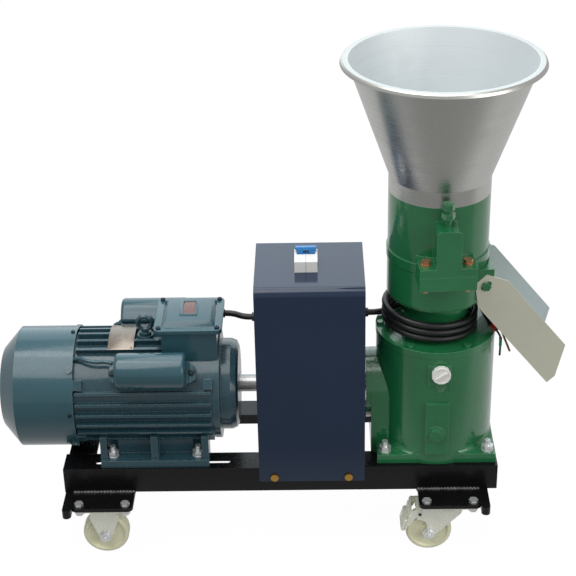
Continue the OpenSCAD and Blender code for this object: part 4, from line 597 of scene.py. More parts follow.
@dataclass
class Studio:
    """The photograph's camera, with a pale floor and soft light.

    The floor and the world are white where they are seen. In mirrors they are greyer, the floor more so in front of
    the machine than under it, so that its glossy front mirrors a darker room.
    """

    camera_mm: tuple[float, float, float] = (-192.42, -2094.82, 1557.57)
    pitch: float = 28.37
    roll: float = 1.29
    yaw: float = -1.21
    focal_px: float = 1492.41
    frame_px: float = 576.0
    sensor_mm: float = 36.0
    room: float = 14.0
    paper: tuple[float, float] = (0.2, 0.24)
    paper_rough: float = 0.8
    paper_glow: float = 1.09
    seen_share: float = 0.9
    shaded_y: tuple[float, float] = (-0.38, -0.2)
    mirror_share: tuple[float, float] = (0.06, 0.5)
    sky: tuple[float, float] = (0.4, 1.0)
    sky_mirrored: float = 0.3
    aim: tuple[float, float, float] = (0.0, 0.0, 0.4)

    def build(self) -> None:
        """Makes the camera, the floor, the world and the lamps."""
        self.camera()
        self.floor()
        self.world()
        for name, place, size, power, tint in (
            ("key_lamp", (-0.9, -0.9, 3.0), 2.2, 47.0, (1.0, 0.99, 0.97)),
            ("fill_lamp", (2.1, -1.7, 1.4), 1.6, 21.0, (1.0, 0.98, 0.95)),
            ("top_lamp", (0.2, 0.6, 3.0), 2.2, 38.0, (0.98, 1.0, 1.0)),
            ("back_lamp", (0.0, 3.2, 1.9), 3.4, 38.0, (0.8, 0.93, 1.0)),
        ):
            self.lamp(name, Vector(place), size, power, tint)

    def camera(self) -> None:
        """Makes the camera from its fitted angles."""
        ahead = Vector((sin(self.yaw) * cos(self.pitch), cos(self.yaw) * cos(self.pitch), -sin(self.pitch)))
        right = Vector((cos(self.yaw), -sin(self.yaw), 0.0))
        up = right.cross(ahead)
        side = right * cos(self.roll) - up * sin(self.roll)
        top = up * cos(self.roll) + right * sin(self.roll)
        data = bpy.data.cameras.new("photo_camera")
        data.sensor_width = self.sensor_mm
        data.lens = self.focal_px * self.sensor_mm / self.frame_px
        data.clip_end = 50.0
        camera = bpy.data.objects.new("photo_camera", data)
        bpy.context.scene.collection.objects.link(camera)
        turn = Matrix((side, top, -ahead)).transposed().to_4x4()
        camera.matrix_world = Matrix.Translation(spot(*self.camera_mm)) @ turn
        bpy.context.scene.camera = camera

    def floor(self) -> None:
        """Makes the pale floor, which keeps the object's shadow."""
        select_none()
        bpy.ops.mesh.primitive_plane_add(size=self.room, location=(0, 0, 0))
        ground = bpy.context.object
        ground.name = "floor"
        shade = Shade("floor_paper")
        low, high = (dim(WHITE, share) for share in self.paper)
        shade.dress(Base_Color=shade.blend(shade.noise(3.0, 2.0), low, high), Roughness=self.paper_rough)
        seen = shade.node("ShaderNodeLightPath", out="Is Camera Ray") * self.seen_share
        shaded = shade.axis("Y").span(*self.shaded_y, *self.mirror_share)
        mirrored = shade.node("ShaderNodeLightPath", out="Is Glossy Ray") * shaded
        glow = shade.node("ShaderNodeEmission", None, {"Color": WHITE, "Strength": self.paper_glow})
        lit = Value(shade, shade.surface.outputs[0])
        mix = shade.node("ShaderNodeMixShader", None, {0: seen + mirrored, 1: lit, 2: glow})
        shade.tree.links.new(mix.socket, shade.output.inputs["Surface"])
        ground.data.materials.append(shade.material)

    def world(self) -> None:
        """Makes the world: soft grey light, and white where it is seen or mirrored."""
        world = bpy.data.worlds.new("studio")
        bpy.context.scene.world = world
        world.use_nodes = True
        tree = world.node_tree
        tree.nodes.clear()
        path = tree.nodes.new("ShaderNodeLightPath")
        seen = tree.nodes.new("ShaderNodeMath")
        seen.operation = "MAXIMUM"
        tree.links.new(path.outputs["Is Camera Ray"], seen.inputs[0])
        tree.links.new(path.outputs["Is Transmission Ray"], seen.inputs[1])
        both = tree.nodes.new("ShaderNodeMath")
        both.operation = "MULTIPLY_ADD"
        both.use_clamp = True
        tree.links.new(path.outputs["Is Glossy Ray"], both.inputs[0])
        both.inputs[1].default_value = self.sky_mirrored
        tree.links.new(seen.outputs[0], both.inputs[2])
        level = tree.nodes.new("ShaderNodeMapRange")
        level.inputs["To Min"].default_value, level.inputs["To Max"].default_value = self.sky
        tree.links.new(both.outputs[0], level.inputs["Value"])
        glow = tree.nodes.new("ShaderNodeBackground")
        glow.inputs["Color"].default_value = WHITE
        tree.links.new(level.outputs[0], glow.inputs["Strength"])
        out = tree.nodes.new("ShaderNodeOutputWorld")
        tree.links.new(glow.outputs[0], out.inputs["Surface"])

    def lamp(self, name: str, place: Vector, size: float, power: float, tint: tuple[float, float, float]) -> None:
        """Makes one soft area lamp that looks at the machine's middle.

        Args:
            name: the lamp's name.
            place: where it hangs, in metres.
            size: its side, in metres.
            power: its power in watts.
            tint: its colour.
        """
        data = bpy.data.lights.new(name, "AREA")
        data.shape = "SQUARE"
        data.size = size
        data.energy = power
        data.color = tint
        lamp = bpy.data.objects.new(name, data)
        bpy.context.scene.collection.objects.link(lamp)
        lamp.location = place
        lamp.rotation_mode = "QUATERNION"
        lamp.rotation_quaternion = (Vector(self.aim) - place).to_track_quat("-Z", "Y")


def select_none() -> None:
    """Clears the selection, which an operator would act on."""
    if bpy.context.object and bpy.context.object.mode != "OBJECT":
        bpy.ops.object.mode_set(mode="OBJECT")
    for thing in list(bpy.context.selected_objects):
        thing.select_set(False)


# ---- modelling ----


class Axis(Enum):
    """A direction along which a round piece is turned."""

    X = (0.0, math.pi / 2, 0.0)
    Y = (-math.pi / 2, 0.0, 0.0)
    Z = (0.0, 0.0, 0.0)


FaceTest = Callable[[Vector, Vector], bool]
"""Says whether a face is wanted, from its middle in millimetres from the head axis and its normal."""


def faces_up(_: Vector, normal: Vector) -> bool:
    """Whether a face looks up."""
    return normal.z > 0.9


def eased(points: Sequence[Sequence[float]]) -> list[Vector]:
    """The same line with two more points in each step, on a smooth curve through all of them."""
    line = [Vector(p) for p in points]
    full: list[Vector] = []
    for i in range(len(line) - 1):
        before, a, b, after = line[max(i - 1, 0)], line[i], line[i + 1], line[min(i + 2, len(line) - 1)]
        for t in (0, 1 / 3, 2 / 3):
            square = (2 * before - 5 * a + 4 * b - after) * t * t
            cube = (3 * a - before - 3 * b + after) * t * t * t
            full.append(0.5 * (2 * a + (b - before) * t + square + cube))
    return full + [line[-1]]


def round_cord(name: str, points: Sequence[Sequence[float]], radius: float, resolution: int) -> bpy.types.Object:
    """A round cord along points, as a curve of one open spline.

    Args:
        name: the cord's name.
        points: its centre line, in millimetres from the head axis.
        radius: its radius in millimetres.
        resolution: how fine its round section is.

    Returns:
        The curve object.
    """
    data = bpy.data.curves.new(name, "CURVE")
    data.dimensions = "3D"
    data.bevel_depth = radius * MM
    data.bevel_resolution = resolution
    data.use_fill_caps = True
    line = data.splines.new("POLY")
    places = [spot(*p) for p in eased(points)]
    line.points.add(len(places) - 1)
    for point, place in zip(line.points, places):
        point.co = (*place, 1.0)
    line.use_smooth = True
    cord = bpy.data.objects.new(name, data)
    bpy.context.scene.collection.objects.link(cord)
    return cord


class Bench:
    """Makes the new pieces with Blender's operators, in millimetres from the head axis."""

    def __init__(self, wardrobe: Wardrobe) -> None:
        """Takes the materials."""
        self.wardrobe = wardrobe

    def slab(self, name: str, low: Sequence[float], high: Sequence[float]) -> bpy.types.Object:
        """A block between two corners, given in millimetres."""
        select_none()
        a, b = spot(*low), spot(*high)
        bpy.ops.mesh.primitive_cube_add(size=1, location=(a + b) / 2)
        made = bpy.context.object
        made.name = name
        made.scale = b - a
        bpy.ops.object.transform_apply(location=True, rotation=True, scale=True)
        return made

    def drum(
        self,
        name: str,
        foot: Sequence[float],
        axis: Axis,
        radius: float,
        length: float,
        sides: int = 32,
        top: float = -1,
    ) -> bpy.types.Object:
        """A cylinder or a cone from its foot along an axis.

        Args:
            name: the piece's name.
            foot: the middle of its first end, in millimetres.
            axis: the direction it stands in.
            radius: its radius at the foot.
            length: its length, less than zero to stand the other way.
            sides: how many sides it has.
            top: its radius at the far end, or less than zero for the same.

        Returns:
            The new object, with its place in its mesh.
        """
        select_none()
        step = {Axis.X: (length / 2, 0, 0), Axis.Y: (0, length / 2, 0), Axis.Z: (0, 0, length / 2)}[axis]
        bpy.ops.mesh.primitive_cone_add(
            vertices=sides,
            radius1=radius * MM,
            radius2=(radius if top < 0 else top) * MM,
            depth=abs(length) * MM,
            location=spot(*(f + d for f, d in zip(foot, step))),
            rotation=axis.value,
        )
        made = bpy.context.object
        made.name = name
        bpy.ops.object.transform_apply(location=True, rotation=True, scale=True)
        return made

    def turned(
        self, name: str, profile: Sequence[tuple[float, float]], centre: Sequence[float], steps: int = 96
    ) -> bpy.types.Object:
        """A closed outline of (radius, height) turned about an upright axis.

        Args:
            name: the piece's name.
            profile: the outline's points in millimetres, one round.
            centre: the axis's foot in millimetres.
            steps: how many steps the turn has.

        Returns:
            The new object.
        """
        select_none()
        foot = spot(*centre)
        places = [foot + Vector((r * MM, 0, z * MM)) for r, z in profile]
        bpy.ops.mesh.primitive_plane_add(size=MM, location=places[0])
        made = bpy.context.object
        made.name = name
        bpy.ops.object.transform_apply(location=True, rotation=True, scale=True)
        bpy.ops.object.mode_set(mode="EDIT")
        bpy.ops.mesh.select_mode(type="VERT")
        bpy.ops.mesh.select_all(action="SELECT")
        bpy.ops.mesh.merge(type="CENTER")
        for a, b in zip(places, places[1:] + places[:1]):
            bpy.ops.mesh.extrude_region_move(TRANSFORM_OT_translate={"value": tuple(b - a)})
        bpy.ops.mesh.select_all(action="SELECT")
        bpy.ops.mesh.remove_doubles(threshold=1e-6)
        bpy.ops.mesh.spin(steps=steps, angle=2 * math.pi, center=foot, axis=(0, 0, 1))
        bpy.ops.mesh.select_all(action="SELECT")
        bpy.ops.mesh.remove_doubles(threshold=1e-6)
        bpy.ops.mesh.normals_make_consistent(inside=False)
        bpy.ops.object.mode_set(mode="OBJECT")
        return made

    def pick(self, made: bpy.types.Object, test: FaceTest) -> None:
        """Enters edit mode with only those faces selected whose middle and normal pass.

        Args:
            made: the object.
            test: takes a face's middle in millimetres from the head axis, and its normal.
        """
        self.use(made)
        bpy.ops.object.mode_set(mode="EDIT")
        bpy.ops.mesh.select_mode(type="FACE")
        mesh = bmesh.from_edit_mesh(made.data)
        for face in mesh.faces:
            face.select_set(False)
        for face in mesh.faces:
            centre = (face.calc_center_median() - Vector((HEAD_X, 0, 0))) / MM
            if test(centre, face.normal):
                face.select_set(True)
        bmesh.update_edit_mesh(made.data)

    def inset(self, thickness: float, depth: float = 0.0) -> None:
        """Insets the selected faces, in millimetres."""
        bpy.ops.mesh.inset(thickness=thickness * MM, depth=depth * MM)

    def use(self, made: bpy.types.Object) -> None:
        """Makes an object the only selected one, in object mode."""
        select_none()
        made.select_set(True)
        bpy.context.view_layer.objects.active = made

    def soften(self, made: bpy.types.Object, width: float, segments: int = 2, angle: float = 30.0) -> None:
        """Bevels the edges sharper than an angle, and keeps the result."""
        self.use(made)
        bevel = made.modifiers.new("bevel", "BEVEL")
        bevel.width = width * MM
        bevel.segments = segments
        bevel.limit_method = "ANGLE"
        bevel.angle_limit = math.radians(angle)
        bpy.ops.object.modifier_apply(modifier=bevel.name)

    def cut(self, made: bpy.types.Object, tool: bpy.types.Object) -> None:
        """Takes a tool out of an object, and removes the tool."""
        self.use(made)
        cut = made.modifiers.new("cut", "BOOLEAN")
        cut.object = tool
        cut.solver = "EXACT"
        bpy.ops.object.modifier_apply(modifier=cut.name)
        bpy.data.objects.remove(tool)

    def turn(self, made: bpy.types.Object, degrees: float, axis: str, about: Sequence[float]) -> None:
        """Turns a piece's mesh about a point in millimetres."""
        centre = Matrix.Translation(spot(*about))
        turn = Matrix.Rotation(math.radians(degrees), 4, axis)
        made.data.transform(centre @ turn @ centre.inverted())

    def join(self, name: str, parts: Sequence[bpy.types.Object]) -> bpy.types.Object:
        """Joins pieces into the first one."""
        self.use(parts[0])
        for part in parts[1:]:
            part.select_set(True)
        bpy.ops.object.join()
        parts[0].name = name
        return parts[0]

    def trim(self, made: bpy.types.Object, place: Sequence[float], normal: Sequence[float]) -> None:
        """Cuts off what lies beyond a plane, and closes the cut."""
        self.use(made)
        bpy.ops.object.mode_set(mode="EDIT")
        bpy.ops.mesh.select_all(action="SELECT")
        bpy.ops.mesh.bisect(plane_co=spot(*place), plane_no=tuple(normal), clear_outer=True, use_fill=True)
        bpy.ops.object.mode_set(mode="OBJECT")

    def screw(self, name: str, foot: Sequence[float], radius: float, height: float) -> bpy.types.Object:
        """An upright pan-head screw with a cross recess."""
        head = self.drum(name, foot, Axis.Z, radius, height, 24, radius * 0.86)
        self.soften(head, radius * 0.16, 2, 40)
        x, y, top = foot[0], foot[1], foot[2] + height
        for k, (a, b) in enumerate(((radius * 0.62, radius * 0.14), (radius * 0.14, radius * 0.62))):
            slot = self.slab(f"{name}_slot_{k}", (x - a, y - b, top - height * 0.45), (x + a, y + b, top + 1))
            self.cut(head, slot)
        return head

    def dome(self, name: str, foot: Sequence[float], radius: float, height: float) -> bpy.types.Object:
        """A low dome, such as a rivet's head."""
        select_none()
        bpy.ops.mesh.primitive_uv_sphere_add(segments=16, ring_count=8, radius=radius * MM, location=spot(*foot))
        made = bpy.context.object
        made.name = name
        made.scale = (1, 1, height / radius)
        bpy.ops.object.transform_apply(location=True, rotation=True, scale=True)
        return made

    def drop(self, name: str, place: Sequence[float], radius: float, lean: float) -> bpy.types.Object:
        """One drop of a weld bead."""
        select_none()
        bpy.ops.mesh.primitive_ico_sphere_add(subdivisions=2, radius=radius * MM, location=spot(*place))
        made = bpy.context.object
        made.name = name
        made.scale = (0.95, 1.0, 0.9)
        made.location.y += lean * MM * 0.4
        bpy.ops.object.transform_apply(location=True, rotation=True, scale=True)
        return made

    def tube(
        self,
        name: str,
        points: Sequence[Sequence[float]],
        radius: float,
        body: str,
        look: Look,
        nodes: Sequence[str] = (),
    ) -> bpy.types.Object:
        """A round tube along points, made a mesh and dressed."""
        self.use(round_cord(name, points, radius, 4))
        bpy.ops.object.convert(target="MESH")
        return self.seal(bpy.context.object, body, look, 50, nodes)

    def seal(
        self, made: bpy.types.Object, body: str, look: Look, smooth: float = 35.0, nodes: Sequence[str] = ()
    ) -> bpy.types.Object:
        """Finishes a piece: smooth where it is round, dressed, and riding on its body.

        Args:
            made: the piece.
            body: the CAD body it rides on.
            look: its finish.
            smooth: edges under this angle are shaded smooth.
            nodes: CAD nodes that it stands for.

        Returns:
            The same piece.
        """
        self.use(made)
        bpy.ops.object.transform_apply(location=True, rotation=True, scale=True)
        if smooth > 0:
            bpy.ops.object.shade_smooth_by_angle(angle=math.radians(smooth))
        self.wardrobe.wear(made, look)
        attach(made, body)
        if nodes:
            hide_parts(*nodes)
        LOG.info("%s: %d faces", made.name, len(made.data.polygons))
        return made


# ---- the mains lead ----


CordPlan = tuple[str, list[Sequence[float]], float, Look]
"""A cord's name, its centre line and radius in millimetres, and its look."""


@dataclass
class MainsLead:
    """The lead wound about the gearbox neck, on the route that the CAD solid takes, and its bare end."""

    diameter: float = 10.0
    loop_r: float = 72.0
    coil_x: float = -10.0
    join_angle: float = 110.0
    turns: float = 2.95
    layer: float = 11.8
    climb_start: float = 0.3
    climb_share: float = 0.48
    coil_z: float = 364.2
    entry_lift: float = 2.0
    guard_face: float = -116.5
    gland: float = 24.0
    start_y: float = 25.0
    entry_r: float = 45.0
    entry_left: float = 42.0
    entry_steps: int = 4
    rings: int = 24
    exit_rings: int = 7
    exit_gap: float = 1.4
    exit_drop: float = 8.0
    core_r: float = 1.7
    cores_from: float = 8.0
    end_mm: tuple[tuple[float, float, float], ...] = (
        (72.1, 17.4, 390.2),
        (74.0, 3.5, 386.3),
        (79.3, -8.0, 379.0),
        (85.5, -18.0, 372.0),
        (90.5, -26.5, 368.5),
    )
    brown_off: tuple[float, float, float] = (2.0, 2.0, 0.3)
    brown_mm: tuple[tuple[float, float, float], ...] = (
        (102.5, -34.0, 361.5),
        (107.0, -37.5, 351.0),
        (112.5, -36.5, 337.0),
        (117.0, -34.0, 325.0),
    )
    black_off: tuple[float, float, float] = (-1.5, -2.0, 0.0)
    black_mm: tuple[tuple[float, float, float], ...] = (
        (98.5, -39.0, 358.5),
        (101.5, -35.0, 347.0),
        (102.0, -32.0, 334.0),
        (102.0, -30.0, 315.0),
    )
    green_off: tuple[float, float, float] = (-0.6, 0.9, 4.0)
    red_reach: tuple[float, float, float] = (-1.0, 4.5, 9.0)

    @staticmethod
    def smooth(share: float) -> float:
        """A share eased at both ends."""
        held = max(0.0, min(1.0, share))
        return held * held * (3 - 2 * held)

    def rise(self, turn: float) -> float:
        """How far the coil has climbed after some turns, in millimetres."""
        whole = math.floor(turn)
        return self.layer * (whole + self.smooth((turn - whole - self.climb_start) / self.climb_share))

    def on_coil(self, turn: float, radius: float, z: float) -> tuple[float, float, float]:
        """A point on the winding."""
        angle = self.join_angle - 360 * turn
        return (self.coil_x + radius * cos(angle), radius * sin(angle), z)

    def route(self) -> list[tuple[float, float, float]]:
        """The route's points in millimetres, as in the part's source."""
        heading = self.join_angle - 90
        join_x, join_y = self.coil_x + self.loop_r * cos(self.join_angle), self.loop_r * sin(self.join_angle)
        back_y = self.entry_r * (cos(heading) - cos(self.entry_left))
        run = (join_y - back_y - self.start_y - self.entry_r * (1 - cos(self.entry_left))) / sin(self.entry_left)
        back_x = self.entry_r * (sin(self.entry_left) - sin(heading))
        bend_x = join_x - back_x - run * cos(self.entry_left) - self.entry_r * sin(self.entry_left)
        flat = [(self.guard_face - self.gland, self.start_y), (bend_x, self.start_y)]
        for k in range(1, self.entry_steps + 1):
            a = k * self.entry_left / self.entry_steps
            flat.append((bend_x + self.entry_r * sin(a), self.start_y + self.entry_r * (1 - cos(a))))
        for k in range(self.entry_steps):
            a = self.entry_left + k * (heading - self.entry_left) / self.entry_steps
            x, y = self.entry_r * (sin(a) - sin(heading)), self.entry_r * (cos(heading) - cos(a))
            flat.append((join_x - x, join_y - y))
        points = []
        for i, (x, y) in enumerate(flat):
            sunk = self.entry_lift * self.smooth((i - 1) / (len(flat) - 1))
            points.append((x, y, self.coil_z + self.entry_lift - sunk))
        for k in range(math.floor(self.turns * self.rings) + 1):
            turn = k / self.rings
            points.append(self.on_coil(turn, self.loop_r, self.coil_z + self.rise(turn)))
        for k in range(1, self.exit_rings + 1):
            radius = self.loop_r + (self.diameter + self.exit_gap) * self.smooth(k / 4.2)
            z = self.coil_z + self.layer * 3 - self.exit_drop * self.smooth((k - 3) / 5)
            points.append(self.on_coil(self.turns + k / self.rings, radius, z))
        return points + list(self.end_mm)

    def ends(self, end: Vector, ahead: Vector) -> list[CordPlan]:
        """The pieces at the lead's bare end.

        Args:
            end: where the sheath ends, in millimetres.
            ahead: the direction in which it ends.

        Returns:
            The plan of each.
        """
        start = end + ahead * self.cores_from
        brown = [start + Vector(self.brown_off), *self.brown_mm]
        black = [start + Vector(self.black_off), *self.black_mm]
        green = [Vector(black[2]) + Vector(self.green_off), black[2], black[3]]
        red = [end + ahead * reach for reach in self.red_reach]
        return [
            ("brown_core", brown, self.core_r, Look.CORE_BROWN),
            ("black_core", black, self.core_r, Look.CORE_BLACK),
            ("green_sleeve", green, self.core_r + 0.7, Look.SLEEVE_GREEN),
            ("red_sleeve", red, self.diameter / 2 + 0.4, Look.SLEEVE_RED),
        ]

    def lay(self, wardrobe: Wardrobe, plan: CordPlan) -> bpy.types.Object:
        """Lays one cord on the machine and dresses it.

        Args:
            wardrobe: the materials.
            plan: what it is.

        Returns:
            The curve object.
        """
        name, line, radius, look = plan
        cord = round_cord(name, line, radius, 5)
        wardrobe.wear(cord, look)
        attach(cord, "chassis")
        LOG.info("%s: %d points", name, len(line))
        return cord

    def build(self, wardrobe: Wardrobe) -> None:
        points = self.route()
        lead = self.lay(wardrobe, ("wound_lead", points, self.diameter / 2, Look.RUBBER))
        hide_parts("mains_lead")
        end = Vector(points[-1])
        ahead = (end - Vector(points[-2])).normalized()
        extra = [self.lay(wardrobe, plan) for plan in self.ends(end, ahead)]
        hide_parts("lead_cores")
        measured = eased(points)
        length = sum((b - a).length for a, b in zip(measured, measured[1:])) * MM
        tuple(spot(*points[0]))
        LOG.info("mains lead: %.3f m", length)


# ---- the motor's pieces ----


@dataclass
class MotorDress:
    """The terminal box's lid, the rating plate, the capacitors' covers and lead, the screws and the motor lead."""

    lid_x: float = -396.5
    lid_size: tuple[float, float] = (109.0, 110.0)
    lid_z: tuple[float, float, float] = (373.0, 381.0, 389.0)
    lid_corner: float = 9.0
    raised_in: float = 11.5
    raised_slope: float = 7.5
    window_y: float = 5.0
    window: tuple[float, float] = (29.0, 49.0)
    window_rim: float = 4.6
    window_deep: float = 2.2
    pane_in: float = 4.9
    screw_in: float = 8.0
    lid_screw: tuple[float, float] = (4.2, 3.2)
    axis_z: float = 249.0
    fin_r: float = 98.0
    plate_x: tuple[float, float] = (-528.0, -486.0)
    plate_angles: tuple[float, float] = (66.0, 112.0)
    plate_thick: float = 0.9
    rivet: tuple[float, float] = (1.9, 1.3)
    rivet_in: float = 3.5
    rivet_turn: float = 0.04
    loom_r: float = 3.2
    loom_mm: tuple[tuple[float, float, float], ...] = (
        (-518.1, -65.2, 328.7),
        (-524.8, -62.6, 329.0),
        (-532.9, -61.4, 329.7),
        (-542.5, -61.6, 329.3),
        (-553.8, -60.0, 329.7),
        (-563.8, -56.3, 330.4),
        (-572.5, -51.2, 330.2),
        (-586.5, -48.5, 326.0),
    )
    can_x: tuple[float, float] = (-510.0, -399.0)
    can_r: float = 29.0
    can_mid: float = 120.6
    can_seat: float = 99.0
    rear_shift: float = -8.0
    saddle_foot: float = 84.0
    saddle_y: tuple[float, float] = (-24.0, 20.0)
    rim_x: float = -588.0
    fan_r: float = 98.5
    rim_angles: tuple[float, float, float] = (91.8, 1.8, 181.8)
    rim_screw: tuple[float, float] = (3.4, 3.0)
    tab_x: tuple[float, float] = (-517.0, -392.0)
    tab_angle: float = 41.6
    tab_r: float = 103.8
    tab_washer: tuple[float, float] = (6.2, 1.4)
    tab_screw: tuple[float, float] = (4.6, 3.4)
    lead_start: tuple[float, float] = (-369.0, 40.0)
    lead_end: tuple[float, float] = (-258.0, 27.0)
    lead_mid: float = -319.5
    lead_z: float = 359.0
    lead_bend: float = 35.0
    lead_steps: int = 5
    lead_r: float = 5.0

    def build(self, bench: Bench) -> None:
        """Makes the motor's pieces."""
        self.lid(bench)
        self.window_pane(bench)
        self.rating_plate(bench)
        self.loom(bench)
        self.capacitors(bench)
        self.screws(bench)
        self.lead(bench)

    def lid(self, bench: Bench) -> None:
        """The cast lid: a rim with round corners, and a middle raised on sloping sides."""
        low_x, high_x = self.lid_x - self.lid_size[0] / 2, self.lid_x + self.lid_size[0] / 2
        half = self.lid_size[1] / 2
        z0, z1, z2 = self.lid_z
        lid = bench.slab("terminal_lid_casting", (low_x, -half, z0), (high_x, half, z1))
        bench.use(lid)
        bpy.ops.object.mode_set(mode="EDIT")
        bpy.ops.mesh.select_mode(type="EDGE")
        mesh = bmesh.from_edit_mesh(lid.data)
        for edge in mesh.edges:
            upright = abs(edge.verts[0].co.z - edge.verts[1].co.z) > (z1 - z0) * MM / 2
            edge.select_set(upright)
        bmesh.update_edit_mesh(lid.data)
        bpy.ops.mesh.bevel(offset=self.lid_corner * MM, segments=6)
        bench.soften(lid, 1.2, 3, 60)
        inner = self.raised_in
        low, high = (low_x + inner, inner - half, z1 - 2), (high_x - inner, half - inner, z1)
        middle = bench.slab("terminal_lid_middle", low, high)
        bench.pick(middle, faces_up)
        bench.inset(self.raised_slope, z2 - z1)
        bench.soften(middle, 0.8, 3, 20)
        x, y = self.window[0] / 2, self.window[1] / 2
        low = (self.lid_x - x, self.window_y - y, z2 - 1)
        high = (self.lid_x + x, self.window_y + y, z2 + 2)
        frame = bench.slab("lid_window_frame", low, high)
        bench.pick(frame, faces_up)
        bench.inset(self.window_rim)
        bench.inset(0.3, -self.window_deep)
        bench.soften(frame, 0.7, 2, 40)
        reach_x, reach_y = self.lid_size[0] / 2 - self.screw_in, half - self.screw_in
        places = [(self.lid_x + a * reach_x, b * reach_y, z1) for a in (-1, 1) for b in (-1, 1)]
        screws = [bench.screw(f"lid_screw_{k}", place, *self.lid_screw) for k, place in enumerate(places)]
        whole = bench.join("terminal_lid_casting", [lid, middle, frame])
        bench.seal(whole, "chassis", Look.MOTOR, 30, ("terminal_box_lid",))
        bench.seal(bench.join("terminal_lid_screws", screws), "chassis", Look.DARK_SCREW, 30)

    def window_pane(self, bench: Bench) -> None:
        """The smoked pane in the lid's window."""
        x, y = (side / 2 - self.pane_in for side in self.window)
        z = self.lid_z[2] - 0.3
        low, high = (self.lid_x - x, self.window_y - y, z), (self.lid_x + x, self.window_y + y, z + 0.9)
        pane = bench.slab("lid_window_pane", low, high)
        bench.pick(pane, faces_up)
        bench.inset(1.2, 0.3)
        bench.soften(pane, 0.25, 2, 20)
        bench.seal(pane, "chassis", Look.PANE)

    def rating_plate(self, bench: Bench) -> None:
        """The bare rating plate, curved over the fins, with a rivet in each corner."""
        low, high = self.plate_x
        r = self.fin_r + 0.6
        plate = bench.drum("bare_rating_plate", (low, 0, self.axis_z), Axis.X, r, high - low, 180)
        first, last = (math.radians(a) for a in self.plate_angles)

        def beyond(place: Vector, normal: Vector) -> bool:
            """Whether a face is an end, or lies outside the plate's angles."""
            angle = math.atan2(place.z - self.axis_z, -place.y)
            return abs(normal.x) > 0.5 or not first < angle < last

        bench.pick(plate, beyond)
        bpy.ops.mesh.delete(type="FACE")
        bpy.ops.object.mode_set(mode="OBJECT")
        sheet = plate.modifiers.new("sheet", "SOLIDIFY")
        sheet.thickness = self.plate_thick * MM
        sheet.offset = -1
        bpy.ops.object.modifier_apply(modifier=sheet.name)
        bench.soften(plate, 0.25, 2, 50)
        rivets = []
        for x in (low + self.rivet_in, high - self.rivet_in):
            for a in (first + self.rivet_turn, last - self.rivet_turn):
                rivet = bench.dome(f"plate_rivet_{len(rivets)}", (x, 0, self.axis_z + r), *self.rivet)
                bench.turn(rivet, 90 - math.degrees(a), "X", (0, 0, self.axis_z))
                rivets.append(rivet)
        whole = bench.join("bare_rating_plate", [plate, *rivets])
        bench.seal(whole, "chassis", Look.PLATE, 30)

    def loom(self, bench: Bench) -> None:
        """The painted capacitor lead from the cover's end back under the fan cover."""
        bench.tube("capacitor_loom", self.loom_mm, self.loom_r, "chassis", Look.MOTOR)

    def capacitors(self, bench: Bench) -> None:
        """The capacitors' covers: a can with round ends on its skirt, with a screwed ear at each end."""
        mid, seat = self.axis_z + self.can_mid, self.axis_z + self.can_seat
        axis = (0.0, 0.0, self.axis_z)
        for name, shift, angle, side in (
            ("start", 0.0, self.tab_angle, 1),
            ("run", self.rear_shift, 180 - self.tab_angle, -1),
        ):
            low, high = (x + shift for x in self.can_x)
            can = bench.drum(f"{name}_can", (low, 0, mid), Axis.X, self.can_r, high - low, 80)
            bench.soften(can, 6.0, 6, 60)
            half = self.can_r - 0.05
            skirt = bench.slab(f"{name}_skirt", (low, -half, seat), (high, half, mid))
            bench.soften(skirt, 5.9, 5, 60)
            near, far = sorted(y * side for y in self.saddle_y)
            foot = self.axis_z + self.saddle_foot
            saddle = bench.slab(f"{name}_saddle", (low + 1, near, foot), (high - 1, far, mid))
            parts = [can, skirt, saddle]
            for end, x in ((-1, low), (1, high)):
                parts += self.ear(bench, f"{name}_ear_{end}", end, x, side)
            for part in parts:
                bench.turn(part, 90 - angle, "X", axis)
            whole = bench.join(f"{name}_capacitor_shell", parts)
            bench.seal(whole, "chassis", Look.MOTOR, 30, (f"{name}_capacitor_cover",))

    def ear(self, bench: Bench, name: str, end: int, x: float, side: int) -> list[bpy.types.Object]:
        """A tapered ear with a sloping web, at one end of a can that points up.

        Args:
            bench: the bench that makes it.
            name: the ear's name.
            end: minus one at the low end and one at the high end.
            x: where the can ends.
            side: one on the front cover, and minus one on the rear one.

        Returns:
            The ear and its web.
        """
        base = self.axis_z + self.can_seat
        made = []
        for part, reach, half, low, high, share in (
            ("plate", 13.5, 22.0, base - 0.5, base + 4.6, (1, 0.5, 1)),
            ("web", 6.0, 20.0, base + 3.0, base + 13.0, (1, 0.8, 0.16)),
        ):
            a, b = sorted((x - 4 * end, x + reach * end))
            plate = bench.slab(f"{name}_{part}", (a, -half, low), (b, half, high))
            bench.pick(plate, lambda place, normal: normal.x * end > 0.9)
            middle = spot(x + reach * end, -3.0 * side, low)
            bpy.ops.transform.resize(value=share, center_override=middle)
            bench.soften(plate, 1.5, 3, 30)
            made.append(plate)
        return made

